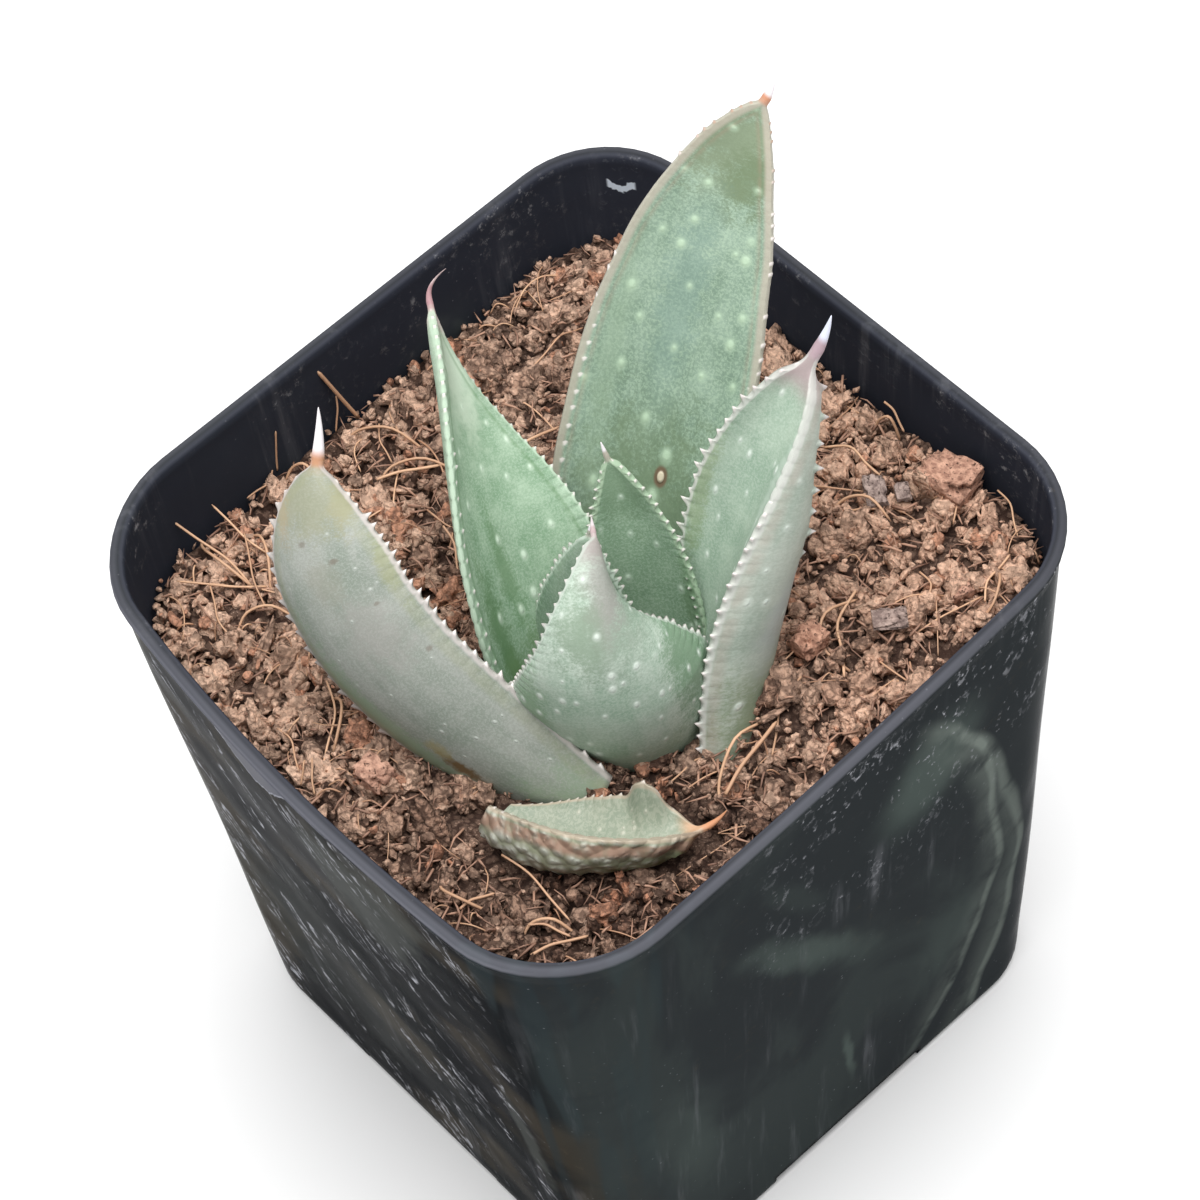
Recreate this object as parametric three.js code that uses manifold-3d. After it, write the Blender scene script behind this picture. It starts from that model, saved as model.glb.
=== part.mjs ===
// A young savanna haworthia in a small square nursery pot.
// Sizes are in millimetres, +Z is up, and the pot stands on z = 0.
// The camera side of the pot is the corner at +X, -Y.
import * as THREE from "three";
import { mergeVertices } from "three/addons/utils/BufferGeometryUtils.js";
import Module from "manifold-3d";

const wasm = await Module();
wasm.setup();

// Pot sizes
const POT_HEIGHT = 76;
const POT_TOP = 70;
const POT_BOTTOM = 62;
const RIM_CORNER = 11.5;
const BASE_CORNER = 9;
const WALL = 1.0;
const LIP_THICK = 1.7;
const LIP_DEEP = 1.3;
const FLOOR_TOP = 3.0;
const FOOT_HEIGHT = 1.8;
const GROOVE_HALF = 10.5;
const DRAIN_RADIUS = 3;
// The thin walls are out of true: the rim is sheared, and two sides bulge outward.
const RIM_SHEAR = -0.035;
const BULGE_PLUS_X = 0.7;
const BULGE_MINUS_Y = 2.9;
// The row's origin is under the middle of the whole object.
const ORIGIN_X = 0.4;
const ORIGIN_Y = -1.5;

// Soil and fit sizes
const GAP = 0.3;
const SOIL_LEVEL = 66.4;
const SOIL_STEP = 1.9;

const DEG = Math.PI / 180;

function seeded(seed) {
  let state = seed >>> 0;
  return () => {
    state = (state + 0x6d2b79f5) >>> 0;
    let t = state;
    t = Math.imul(t ^ (t >>> 15), t | 1);
    t ^= t + Math.imul(t ^ (t >>> 7), t | 61);
    return ((t ^ (t >>> 14)) >>> 0) / 4294967296;
  };
}

// Closed bodies are swept through rings of points, all with the same count.
function geometryFrom(points, faces) {
  const flat = points.flatMap((p) => [p.x, p.y, p.z]);
  const geometry = new THREE.BufferGeometry();
  geometry.setAttribute("position", new THREE.Float32BufferAttribute(flat, 3));
  geometry.setIndex(faces.flat());
  return geometry;
}

function sweepRings(rings, startCap, endCap) {
  const n = rings[0].length;
  const points = rings.flat();
  const faces = [];
  for (let j = 0; j + 1 < rings.length; j += 1) {
    for (let i = 0; i < n; i += 1) {
      const a = j * n + i;
      const b = j * n + ((i + 1) % n);
      faces.push([a, b, b + n], [a, b + n, a + n]);
    }
  }
  const last = (rings.length - 1) * n;
  startCap(points, 0, n).forEach(([a, b, c]) => faces.push([a, c, b]));
  endCap(points, last, n).forEach(([a, b, c]) => faces.push([a, b, c]));
  return geometryFrom(points, faces);
}

function fanCap(points, first, n) {
  const middle = new THREE.Vector3();
  for (let i = 0; i < n; i += 1) {
    middle.add(points[first + i]);
  }
  points.push(middle.divideScalar(n));
  const centre = points.length - 1;
  return Array.from({ length: n }, (_, i) => [first + i, first + ((i + 1) % n), centre]);
}

// A leaf's section is a ladder: its upper points run one way and its lower points back.
function ladderCap(points, first, n) {
  const faces = [];
  for (let i = 0; i + 1 < n / 2; i += 1) {
    const a = first + i;
    const b = first + i + 1;
    const c = first + n - 2 - i;
    const d = first + n - 1 - i;
    faces.push([a, b, c], [a, c, d]);
  }
  return faces;
}

function toManifold(geometry) {
  const clean = geometry.clone();
  clean.deleteAttribute("normal");
  clean.deleteAttribute("uv");
  const merged = mergeVertices(clean, 1e-5);
  const mesh = new wasm.Mesh({
    numProp: 3,
    vertProperties: new Float32Array(merged.attributes.position.array),
    triVerts: new Uint32Array(merged.index.array),
  });
  return new wasm.Manifold(mesh);
}

function fromManifold(body) {
  const mesh = body.getMesh();
  const geometry = new THREE.BufferGeometry();
  geometry.setAttribute("position", new THREE.BufferAttribute(new Float32Array(mesh.vertProperties), 3));
  geometry.setIndex(new THREE.BufferAttribute(new Uint32Array(mesh.triVerts), 1));
  return geometry;
}

function largestPiece(body) {
  const pieces = body.decompose();
  pieces.sort((a, b) => b.volume() - a.volume());
  return pieces[0];
}

function box(x0, y0, z0, x1, y1, z1) {
  const geometry = new THREE.BoxGeometry(x1 - x0, y1 - y0, z1 - z0);
  geometry.translate((x0 + x1) / 2, (y0 + y1) / 2, (z0 + z1) / 2);
  return toManifold(geometry);
}

// Pot
// One level of the pot's outline, drawn in from the outer face by a given amount.
function potRing(z, inset) {
  const f = Math.max(0, Math.min(1, z / POT_HEIGHT));
  const half = (POT_BOTTOM + (POT_TOP - POT_BOTTOM) * f) / 2 - inset;
  const radius = BASE_CORNER + (RIM_CORNER - BASE_CORNER) * f - inset;
  const bulge = f ** 1.5;
  const ring = [];
  for (let corner = 0; corner < 4; corner += 1) {
    const flat = half - radius;
    for (let i = 0; i < 11; i += 1) {
      const angle = (Math.min(i, 5) / 5) * 90;
      let x = flat + radius * Math.cos(angle * DEG);
      let y = flat + radius * Math.sin(angle * DEG);
      if (i > 5) {
        x = flat - (2 * flat * (i - 5)) / 6;
      }
      const turn = new THREE.Vector2(x, y).rotateAround(new THREE.Vector2(0, 0), corner * 90 * DEG);
      const across = Math.max(0, 1 - (turn.x / half) ** 2);
      const along = Math.max(0, 1 - (turn.y / half) ** 2);
      const outX = turn.x > 0 ? BULGE_PLUS_X * along * Math.max(0, (2 * turn.x) / half - 1) : 0;
      const outY = turn.y < 0 ? -BULGE_MINUS_Y * across * Math.max(0, (-2 * turn.y) / half - 1) : 0;
      const px = turn.x + outX * bulge;
      const py = turn.y + outY * bulge;
      const shear = RIM_SHEAR * f;
      ring.push(new THREE.Vector3(px + shear * py, py + shear * px, z));
    }
  }
  return ring;
}

function potSolid(levels) {
  return toManifold(sweepRings(levels.map(([z, inset]) => potRing(z, inset)), fanCap, fanCap));
}

function buildPot() {
  const lipStart = POT_HEIGHT - LIP_DEEP;
  const outer = potSolid([
    [0, 0.7],
    [0.7, 0],
    [26, 0],
    [52, 0],
    [lipStart, 0],
    [lipStart + 0.2, -0.35],
    [POT_HEIGHT - 0.35, -0.35],
    [POT_HEIGHT, 0.1],
  ]);
  const inner = potSolid([
    [FLOOR_TOP, WALL + 0.8],
    [FLOOR_TOP + 1.2, WALL],
    [26, WALL],
    [52, WALL],
    [lipStart, WALL],
    [lipStart + 0.3, LIP_THICK - 0.35],
    [POT_HEIGHT - 0.35, LIP_THICK - 0.45],
    [POT_HEIGHT + 0.01, WALL - 0.1],
  ]);
  let pot = outer.subtract(inner);
  // The underside has a cross-shaped groove, which leaves four corner feet.
  pot = pot.subtract(box(-50, -GROOVE_HALF, -1, 50, GROOVE_HALF, FOOT_HEIGHT));
  pot = pot.subtract(box(-GROOVE_HALF, -50, -1, GROOVE_HALF, 50, FOOT_HEIGHT));
  const holes = [
    [0, 0],
    [19, 0],
    [-19, 0],
    [0, 19],
    [0, -19],
  ];
  holes.forEach(([x, y]) => {
    const hole = new THREE.CylinderGeometry(DRAIN_RADIUS, DRAIN_RADIUS, 10, 14);
    hole.rotateX(90 * DEG);
    hole.translate(x, y, FLOOR_TOP);
    pot = pot.subtract(toManifold(hole));
  });
  return pot;
}

// Leaves
// Each leaf follows a curve from its root past a belly point to its tip, in millimetres.
// The face angles say which way the upper side looks at the root and at the tip,
// measured from +X towards +Y, and the two lift angles raise that look above the horizontal.
// The cup angles say how far the blade is rolled at the root and at the tip.
// A slim value thins the blade towards its root, which leaves the keel deepest further up.
const LEAVES = {
  leaf_tall_back: {
    root: [5.4, -1.6, 64], belly: [-4.2, 18.6, 100], tip: [-2.4, 27.5, 108], face: [-62, -63],
    width: 17.6, widest: 0.2, neck: 0.74, taper: 1.9, cup: [27, 12], thick: 2.8, back: 2,
    spine: 2.2, teeth: [20, 0.3, 0.35], colour: 0x7fa286,
  },
  leaf_left: {
    root: [7.4, -9.2, 64], belly: [-1, -10, 88.5], tip: [-17.7, -0.2, 92.4], face: [-6, 21],
    width: 16.3, widest: 0.27, neck: 0.7, taper: 1.6, cup: [47, 18], thick: 2.4, back: 1.6,
    spine: 3, teeth: [18, 0.35, 0.5], colour: 0x84ab8c,
  },
  leaf_right: {
    root: [20.8, -4.3, 64], belly: [12.2, 3.3, 83], tip: [14.5, 16.4, 97.8], face: [-129, -72],
    width: 10.2, widest: 0.48, neck: 0.6, taper: 2.2, cup: [62, 54], thick: 7.6, back: 1.2, slim: 0.65,
    spine: 3.2, teeth: [18, 0.8, 0.8], colour: 0x9db49a,
  },
  leaf_front_left: {
    root: [16.7, -15.3, 64.6], belly: [-6.3, -28.6, 79], tip: [-12.7, -18.1, 91], face: [111, 121],
    lift: [-24, -24], width: 13.5, widest: 0.35, neck: 0.5, taper: 3.5, cup: [3, 10], thick: 2.7, back: 2,
    spine: 5, teeth: [20, 0.65, 0.75], colour: 0xa7b0a2,
  },
  leaf_front: {
    root: [16, -9.8, 64], belly: [20.7, -15.2, 85.3], tip: [9.1, -6.2, 88.6], face: [134, 180],
    width: 21, widest: 0.32, neck: 0.75, taper: 1.08, cup: [66, 64], thick: 1.6, back: 1.6,
    spine: 1.2, teeth: [17, 0.6, 0.7], colour: 0x93b598,
  },
  leaf_centre: {
    root: [11.4, -4.7, 64], belly: [9, 0, 79.7], tip: [5, -0.3, 90], face: [-46, -38],
    width: 12.3, widest: 0.28, neck: 0.75, taper: 1.5, cup: [45, 40], thick: 1.5, back: 1.6,
    spine: 1.4, teeth: [16, 0.5, 0.7], colour: 0x6b9270,
  },
  leaf_inner_left: {
    root: [9.1, -9, 64], belly: [7.9, -8.4, 76.7], tip: [7.3, -4.8, 86], face: [118, 118],
    width: 10.8, widest: 0.32, neck: 0.7, taper: 1.5, cup: [45, 35], thick: 1.1, back: 1.6,
    spine: 0.8, teeth: [11, 0.6, 0.6], colour: 0x85a98a,
  },
  leaf_withered: {
    root: [13.4, -24.6, 68], belly: [22.4, -23.2, 66.6], tip: [28, -12, 69.2], face: [140, 150],
    lift: [32, 70], width: 12, widest: 0.4, neck: 0.55, taper: 3, cup: [70, 80], thick: 2.2, back: 1.6,
    spine: 2, teeth: [10, 0.25, 0.3], colour: 0xa3b096,
  },
};
// The spine at the tip turns upward a little from the blade's own line.
const SPINE_RISE = 0.7;
const ACROSS = [1, 0.84, 0.42, 0, -0.42, -0.84, -1];

function leafHalfWidth(leaf, u) {
  const rise = Math.min(1, u / leaf.widest);
  const fall = Math.max(0, (u - leaf.widest) / (1 - leaf.widest));
  const shape = leaf.neck + (1 - leaf.neck) * Math.sin(90 * rise * DEG) - fall ** leaf.taper;
  return Math.max(0.4, (leaf.width / 2) * shape);
}

function leafFrame(leaf, u) {
  const [p0, p1, p2] = [leaf.root, leaf.belly, leaf.tip].map((p) => new THREE.Vector3(...p));
  const curve = new THREE.QuadraticBezierCurve3(p0, p1, p2);
  const along = curve.getTangent(u);
  const turn = (leaf.face[0] + (leaf.face[1] - leaf.face[0]) * u) * DEG;
  const [rootLift, tipLift] = leaf.lift || [0, 0];
  const lift = (rootLift + (tipLift - rootLift) * u) * DEG;
  const up = new THREE.Vector3(
    Math.cos(turn) * Math.cos(lift),
    Math.sin(turn) * Math.cos(lift),
    Math.sin(lift),
  );
  up.addScaledVector(along, -up.dot(along)).normalize();
  return { at: curve.getPoint(u), along, up, side: up.clone().cross(along) };
}

// One ring of the blade; grow swells it all round, and tooth pushes both margins out.
function leafRing(leaf, u, tooth, grow) {
  const { at, along, up, side } = leafFrame(leaf, u);
  const half = leafHalfWidth(leaf, u);
  const roll = Math.max(1, leaf.cup[0] + (leaf.cup[1] - leaf.cup[0]) * u) * DEG;
  const radius = half / roll;
  const slim = leaf.slim || 1;
  const full = Math.min(1, (2 * half) / leaf.width) ** 0.8 * Math.min(1, slim + 1.7 * (1 - slim) * u);
  const upper = [];
  const lower = [];
  ACROSS.forEach((v) => {
    const angle = roll * v;
    const out = side.clone().multiplyScalar(Math.cos(angle)).addScaledVector(up, Math.sin(angle));
    const normal = up.clone().multiplyScalar(Math.cos(angle)).addScaledVector(side, -Math.sin(angle));
    const p = at.clone();
    p.addScaledVector(side, radius * Math.sin(angle));
    p.addScaledVector(up, radius * (1 - Math.cos(angle)));
    if (Math.abs(v) === 1) {
      p.addScaledVector(out, v * (tooth + grow));
    }
    const deep = 0.7 + (leaf.thick - 0.7) * (1 - Math.abs(v) ** leaf.back) * full;
    upper.push(p.clone().addScaledVector(normal, grow));
    lower.unshift(p.clone().addScaledVector(normal, -deep - grow));
  });
  return upper.concat(lower);
}

function buildLeaf(leaf, grow) {
  const [count, lowTooth, highTooth] = leaf.teeth;
  const rings = [];
  // The swollen copy is smooth: its margins run along the points of the teeth.
  const step = grow > 0 ? 2 : 1;
  for (let j = 0; j <= 2 * count; j += step) {
    const u = 0.001 + (0.994 * j) / (2 * count);
    const size = (lowTooth + (highTooth - lowTooth) * u) * Math.min(1, 4 * (1 - u));
    rings.push(leafRing(leaf, u, grow > 0 || j % 2 === 1 ? size : 0, grow));
  }
  const end = leafFrame(leaf, 0.998);
  const rise = end.along.clone().add(new THREE.Vector3(0, 0, SPINE_RISE)).normalize();
  const point = end.at.clone().addScaledVector(end.up, -0.3).addScaledVector(rise, leaf.spine + grow);
  if (grow > 0) {
    rings[0].forEach((p) => p.addScaledVector(leafFrame(leaf, 0).along, -grow));
  }
  return sweepRings(rings, ladderCap, (points, first, n) => {
    points.push(point);
    const top = points.length - 1;
    return Array.from({ length: n }, (_, i) => [first + i, first + ((i + 1) % n), top]);
  });
}

// Stem and roots
const STEM = [12, -8];

function rootTube(points, radius) {
  const path = new THREE.CatmullRomCurve3(points.map((p) => new THREE.Vector3(...p)));
  const round = new THREE.Shape();
  round.absarc(0, 0, radius, 0, 2 * Math.PI);
  return toManifold(
    new THREE.ExtrudeGeometry(round, { steps: 5, curveSegments: 2, bevelEnabled: false, extrudePath: path }),
  );
}

function buildStem(grow) {
  const profile = [
    [0, 50 - grow],
    [2.4 + grow, 50 - grow],
    [4.6 + grow, 55],
    [7 + grow, 61],
    [6.6 + grow, 63.6 + grow],
    [0, 63.6 + grow],
  ];
  const core = new THREE.LatheGeometry(profile.map(([r, z]) => new THREE.Vector2(r, z)), 16);
  core.rotateX(90 * DEG);
  core.translate(STEM[0], STEM[1], 0);
  let stem = toManifold(core);
  const [x, y] = STEM;
  const roots = [
    [[x, y, 55], [x + 5, y - 3, 50], [x + 8, y - 9, 41], [x + 7, y - 12, 30]],
    [[x, y, 54], [x - 6, y - 2, 49], [x - 14, y + 2, 42], [x - 19, y + 1, 31]],
    [[x, y, 55], [x + 2, y + 6, 50], [x - 2, y + 14, 42], [x - 1, y + 20, 34]],
    [[x, y, 52], [x - 3, y - 4, 44], [x - 4, y - 3, 34], [x - 8, y - 6, 24]],
    [[x, y, 55], [x + 5, y + 3, 50], [x + 9, y + 6, 42], [x + 10, y + 13, 35]],
  ];
  roots.forEach((line) => {
    stem = stem.add(rootTube(line, 0.9 + grow));
  });
  return stem;
}

// Soil
// The bed is a coarse heap of crumbs, a little higher towards +X.
function soilHeights(size, step) {
  const random = seeded(4134);
  const crumbs = [];
  for (let i = 0; i < 900; i += 1) {
    crumbs.push([(random() - 0.5) * 2 * size, (random() - 0.5) * 2 * size, 1.1 + random() * 1.5, random()]);
  }
  return (x, y) => {
    let z = SOIL_LEVEL + 0.035 * x + 0.012 * y;
    z -= 2.2 * Math.exp(-((x + 9) ** 2 + (y + 12) ** 2) / 40);
    z += 1.4 * Math.exp(-((x + 2) ** 2 + (y + 26) ** 2) / 60);
    z += 1.5 * Math.exp(-((x - 22) ** 2 + (y - 22) ** 2) / 120);
    z += 2.2 * Math.exp(-((x - 17) ** 2 + (y - 29.5) ** 2) / 7);
    z += 1.6 * Math.exp(-((x - 21) ** 2 + (y - 8) ** 2) / 4);
    z += 2.5 * Math.exp(-((x - 22.2) ** 2 + (y - 2.2) ** 2) / 14);
    z += 1.2 * Math.exp(-((x - 24.5) ** 2 + (y - 14.5) ** 2) / 4);
    let crumb = 0;
    crumbs.forEach(([cx, cy, r, lift]) => {
      const d = (x - cx) ** 2 + (y - cy) ** 2;
      if (d < r * r) {
        crumb = Math.max(crumb, Math.sqrt(r * r - d) * (0.5 + 0.7 * lift));
      }
    });
    return z - 0.6 + crumb;
  };
}

function buildSoil(cutters) {
  const size = 38;
  const height = soilHeights(size, SOIL_STEP);
  const n = Math.round((2 * size) / SOIL_STEP);
  const points = [];
  const faces = [];
  for (let j = 0; j <= n; j += 1) {
    for (let i = 0; i <= n; i += 1) {
      const x = -size + i * SOIL_STEP;
      const y = -size + j * SOIL_STEP;
      points.push(new THREE.Vector3(x, y, height(x, y)));
    }
  }
  const under = points.length;
  for (let j = 0; j < n; j += 1) {
    for (let i = 0; i < n; i += 1) {
      const a = j * (n + 1) + i;
      const c = a + n + 1;
      faces.push([a, a + 1, c + 1], [a, c + 1, c]);
    }
  }
  const edge = [];
  for (let i = 0; i < n; i += 1) edge.push(i);
  for (let j = 0; j < n; j += 1) edge.push(j * (n + 1) + n);
  for (let i = n; i > 0; i -= 1) edge.push(n * (n + 1) + i);
  for (let j = n; j > 0; j -= 1) edge.push(j * (n + 1));
  edge.forEach((k) => points.push(new THREE.Vector3(points[k].x, points[k].y, FLOOR_TOP + GAP)));
  points.push(new THREE.Vector3(0, 0, FLOOR_TOP + GAP));
  edge.forEach((k, i) => {
    const next = (i + 1) % edge.length;
    faces.push([k, under + i, under + next], [k, under + next, edge[next]]);
    faces.push([under + next, under + i, under + edge.length]);
  });
  const fill = potSolid([
    [FLOOR_TOP + GAP, WALL + 0.8 + GAP],
    [FLOOR_TOP + 1.2 + GAP, WALL + GAP],
    [26, WALL + GAP],
    [52, WALL + GAP],
    [POT_HEIGHT - LIP_DEEP - GAP, WALL + GAP],
  ]);
  let soil = toManifold(geometryFrom(points, faces)).intersect(fill);
  FIBRES.forEach(([x0, y0, x1, y1, arch, bend]) => {
    const z0 = height(x0, y0);
    const z1 = height(x1, y1);
    const side = new THREE.Vector2(y0 - y1, x1 - x0).multiplyScalar(bend);
    const line = [
      [x0, y0, z0 - 0.9],
      [x0 + (x1 - x0) * 0.2 + side.x, y0 + (y1 - y0) * 0.2 + side.y, z0 + arch * 0.6],
      [x0 + (x1 - x0) * 0.6 + side.x, y0 + (y1 - y0) * 0.6 + side.y, z0 + (z1 - z0) * 0.6 + arch],
      [x1, y1, z1 - 0.9],
    ];
    soil = soil.add(rootTube(line, 0.33));
  });
  cutters.forEach((cutter) => {
    soil = soil.subtract(cutter);
  });
  return largestPiece(soil);
}

// Coir fibres that lie on the soil: start x and y, end x and y, arch height, sideways bend.
const FIBRES = [
  [-31, -5, -24, 0, 2.4, 0.1],
  [-31.5, -12, -28, -10, 3, 0.2],
  [-32, -22, -23, -22, 2.2, -0.1],
  [-29, -18.5, -22, -21.5, 2.4, 0.12],
  [-24.5, -6, -19.5, 0.5, 1.6, 0.15],
  [-19, 1, -16.5, 11.5, 2, -0.1],
  [26.5, -9, 23.5, -1, 2.6, 0.1],
  [24.6, 9.1, 19.8, 15.2, 2, 0.35],
  [10.6, 20.5, 15.7, 23.5, 1.8, 0.2],
  [6.4, 30.5, 9.1, 31.5, 3, 0.1],
  [29.6, 20.9, 26.8, 26, 2, -0.15],
  [-8.3, -25.8, -3.1, -29.4, 2.2, 0.2],
  [23.4, -30, 26.8, -26.6, 1.5, 0.15],
  [14, -31.2, 19.2, -30.4, 1.6, -0.2],
  [-21, -26.5, -17.5, -21.5, 1.6, 0.2],
  [-10, 26, -3, 29, 1.8, -0.2],
];

// Assembly
const leafNames = Object.keys(LEAVES);
const swollen = {};
const bodies = {};
leafNames.forEach((name) => {
  swollen[name] = toManifold(buildLeaf(LEAVES[name], GAP));
});
const stem = buildStem(0);
const swollenStem = buildStem(GAP);
// The innermost leaf keeps its full shape, and each later one gives way to those before it.
const order = [
  "leaf_centre",
  "leaf_inner_left",
  "leaf_front",
  "leaf_left",
  "leaf_tall_back",
  "leaf_right",
  "leaf_front_left",
  "leaf_withered",
];
order.forEach((name, index) => {
  let body = toManifold(buildLeaf(LEAVES[name], 0)).subtract(swollenStem);
  order.slice(0, index).forEach((inner) => {
    body = body.subtract(swollen[inner]);
  });
  bodies[name] = largestPiece(body);
});
const soilCutters = [swollenStem, ...leafNames.map((name) => swollen[name])];
const soil = buildSoil(soilCutters);
const pot = buildPot();

const group = new THREE.Group();
group.name = "potted_savanna_haworthia";

function addPart(name, body, colour, roughness) {
  const geometry = fromManifold(body);
  geometry.translate(-ORIGIN_X, -ORIGIN_Y, 0);
  const material = new THREE.MeshStandardMaterial({ color: colour, roughness, metalness: 0 });
  const mesh = new THREE.Mesh(geometry, material);
  mesh.name = name;
  group.add(mesh);
}

addPart("pot", pot, 0x202126, 0.4);
addPart("soil", soil, 0x6b4634, 0.95);
addPart("stem_and_roots", stem, 0xb79a6c, 0.8);
leafNames.forEach((name) => addPart(name, bodies[name], LEAVES[name].colour, 0.55));

export default group;
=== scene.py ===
# %% [markdown]
# # A young savanna haworthia in a square nursery pot
# The plant is a rosette of fleshy leaves with small teeth and a spine at each tip. It sits a little
# off centre in a thin black plastic pot that is filled with crumbly coir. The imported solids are
# loaded first, because every visible piece is made in their frame and has to stay inside their box.

# %% Load the frame
import math
import random
from itertools import accumulate

import bpy
import numpy as np
from mathutils import Matrix, Vector, noise


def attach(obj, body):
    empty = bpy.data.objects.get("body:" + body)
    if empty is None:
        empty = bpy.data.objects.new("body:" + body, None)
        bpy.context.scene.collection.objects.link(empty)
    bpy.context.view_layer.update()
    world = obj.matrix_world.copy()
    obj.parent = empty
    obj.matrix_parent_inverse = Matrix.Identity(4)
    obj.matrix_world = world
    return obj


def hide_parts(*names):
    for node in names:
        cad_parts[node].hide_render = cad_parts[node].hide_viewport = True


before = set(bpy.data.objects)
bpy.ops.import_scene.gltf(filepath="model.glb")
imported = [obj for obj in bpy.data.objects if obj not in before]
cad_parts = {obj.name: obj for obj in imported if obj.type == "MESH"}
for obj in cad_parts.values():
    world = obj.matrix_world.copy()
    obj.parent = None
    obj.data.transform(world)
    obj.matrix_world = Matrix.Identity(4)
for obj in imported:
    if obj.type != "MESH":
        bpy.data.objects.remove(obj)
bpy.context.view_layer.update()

scene = bpy.context.scene
print("solids:", sorted(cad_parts))

# %% [markdown]
# ## Units
# The pot and the leaves were measured in millimetres from the middle of the pot's base, so that is
# how they are written here. One function moves a point into the shared frame, in metres, and every
# mesh is made through it, so no piece can drift from the solids.

# %% Units
ORIGIN_X = 0.4
ORIGIN_Y = -1.5
UP = Vector((0, 0, 1))


def metres(points):
    shifted = np.asarray(points, dtype=float) - (ORIGIN_X, ORIGIN_Y, 0)
    return shifted / 1000


def smooth_step(low, high, x):
    t = np.clip((np.asarray(x, dtype=float) - low) / (high - low), 0, 1)
    return t * t * (3 - 2 * t)


print("middle of the base in metres:", metres([(0, 0, 0)])[0])

# %% [markdown]
# ## Mesh helpers
# Every piece is a mesh made from points and faces. It rides on the one body, carries its finish, and may
# carry painted numbers, one for each point, which its finish reads. The pot, a fibre and a leaf are all skins
# swept from ring to ring, so they share one way to list their faces.


# %% Mesh helpers
def make_piece(name, points, faces, finish):
    mesh = bpy.data.meshes.new(name)
    mesh.from_pydata(metres(points).tolist(), [], faces)
    mesh.update()
    mesh.shade_smooth()
    mesh.materials.append(finish)
    piece = bpy.data.objects.new(name, mesh)
    scene.collection.objects.link(piece)
    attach(piece, "root")
    print(name, len(mesh.polygons), "faces")
    return piece


def paint(piece, **layers):
    for name, values in layers.items():
        values = np.asarray(values, dtype=np.float32)
        kind, key = ("FLOAT_VECTOR", "vector") if values.ndim == 2 else ("FLOAT", "value")
        layer = piece.data.attributes.new(name=name, type=kind, domain="POINT")
        layer.data.foreach_set(key, values.ravel())


def skin_faces(rings, count):
    faces = [
        (j * count + i, j * count + (i + 1) % count, (j + 1) * count + (i + 1) % count, (j + 1) * count + i)
        for j in range(rings - 1)
        for i in range(count)
    ]
    return faces + [tuple(reversed(range(count))), tuple(range((rings - 1) * count, rings * count))]


print("faces on a plain box:", len(skin_faces(2, 4)))

# %% [markdown]
# ## Camera
# The photograph looks down at about 54 degrees onto the corner of the pot, from about 30 cm, and the
# camera is rolled a few degrees. A long lens gives the same mild perspective on the pot's sides.

# %% Camera
AZIMUTH, ELEVATION, ROLL = math.radians(54), math.radians(54), math.radians(-8.3)
DISTANCE, LENS, SENSOR = 303, 101.7, 36
TARGET = (7.5, -5.0, 76)

back = Vector((
    math.sin(AZIMUTH) * math.cos(ELEVATION),
    -math.cos(AZIMUTH) * math.cos(ELEVATION),
    math.sin(ELEVATION),
))
flat_right = (-back).cross(UP).normalized()
flat_up = flat_right.cross(-back)
right = flat_right * math.cos(ROLL) + flat_up * math.sin(ROLL)
upward = flat_up * math.cos(ROLL) - flat_right * math.sin(ROLL)

camera_data = bpy.data.cameras.new("camera")
camera_data.lens = LENS
camera_data.sensor_width = camera_data.sensor_height = SENSOR
camera_data.sensor_fit = "HORIZONTAL"
camera_data.clip_start, camera_data.clip_end = 0.01, 20
camera = bpy.data.objects.new("camera", camera_data)
scene.collection.objects.link(camera)
place = metres([Vector(TARGET) + back * DISTANCE])[0]
camera.matrix_world = Matrix((
    (right.x, upward.x, back.x, place[0]),
    (right.y, upward.y, back.y, place[1]),
    (right.z, upward.z, back.z, place[2]),
    (0, 0, 0, 1),
))
scene.camera = camera
print("camera at", [round(v, 3) for v in place])

# %% [markdown]
# Some things below depend on where they lie in the picture. On the ground, the two directions of the
# picture are a quarter turn apart: one to its right, and one straight away from the camera.

# %% Directions of the picture
RIGHT_X, RIGHT_Y = 0.588, 0.809


def in_picture(x, y):
    return x * RIGHT_X + y * RIGHT_Y, y * RIGHT_X - x * RIGHT_Y


print("the pot's +x side lies at", in_picture(35, 0), "mm right and back")

# %% [markdown]
# ## Shader arithmetic
# Materials here are sums and products of a few masks. A wire wraps one output socket, and Python's
# own operators on it add the Math nodes.


# %% Shader arithmetic
class Wire:
    def __init__(self, finish, socket):
        self.finish = finish
        self.socket = socket

    def maths(self, operation, *sides):
        return self.finish.node("ShaderNodeMath", {"operation": operation}, sides)

    def __add__(self, other):
        return self.maths("ADD", self, other)

    def __radd__(self, other):
        return self.maths("ADD", other, self)

    def __sub__(self, other):
        return self.maths("SUBTRACT", self, other)

    def __rsub__(self, other):
        return self.maths("SUBTRACT", other, self)

    def __mul__(self, other):
        return self.maths("MULTIPLY", self, other)

    def __rmul__(self, other):
        return self.maths("MULTIPLY", other, self)

    def __truediv__(self, other):
        return self.maths("DIVIDE", self, other)

    def __rtruediv__(self, other):
        return self.maths("DIVIDE", other, self)

    def __abs__(self):
        return self.maths("ABSOLUTE", self)


def srgb(red, green, blue):
    parts = [c / 255 for c in (red, green, blue)]
    return tuple(c / 12.92 if c < 0.04045 else ((c + 0.055) / 1.055) ** 2.4 for c in parts) + (1.0,)


print("middle grey in linear light:", round(srgb(128, 128, 128)[0], 3))

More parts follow.
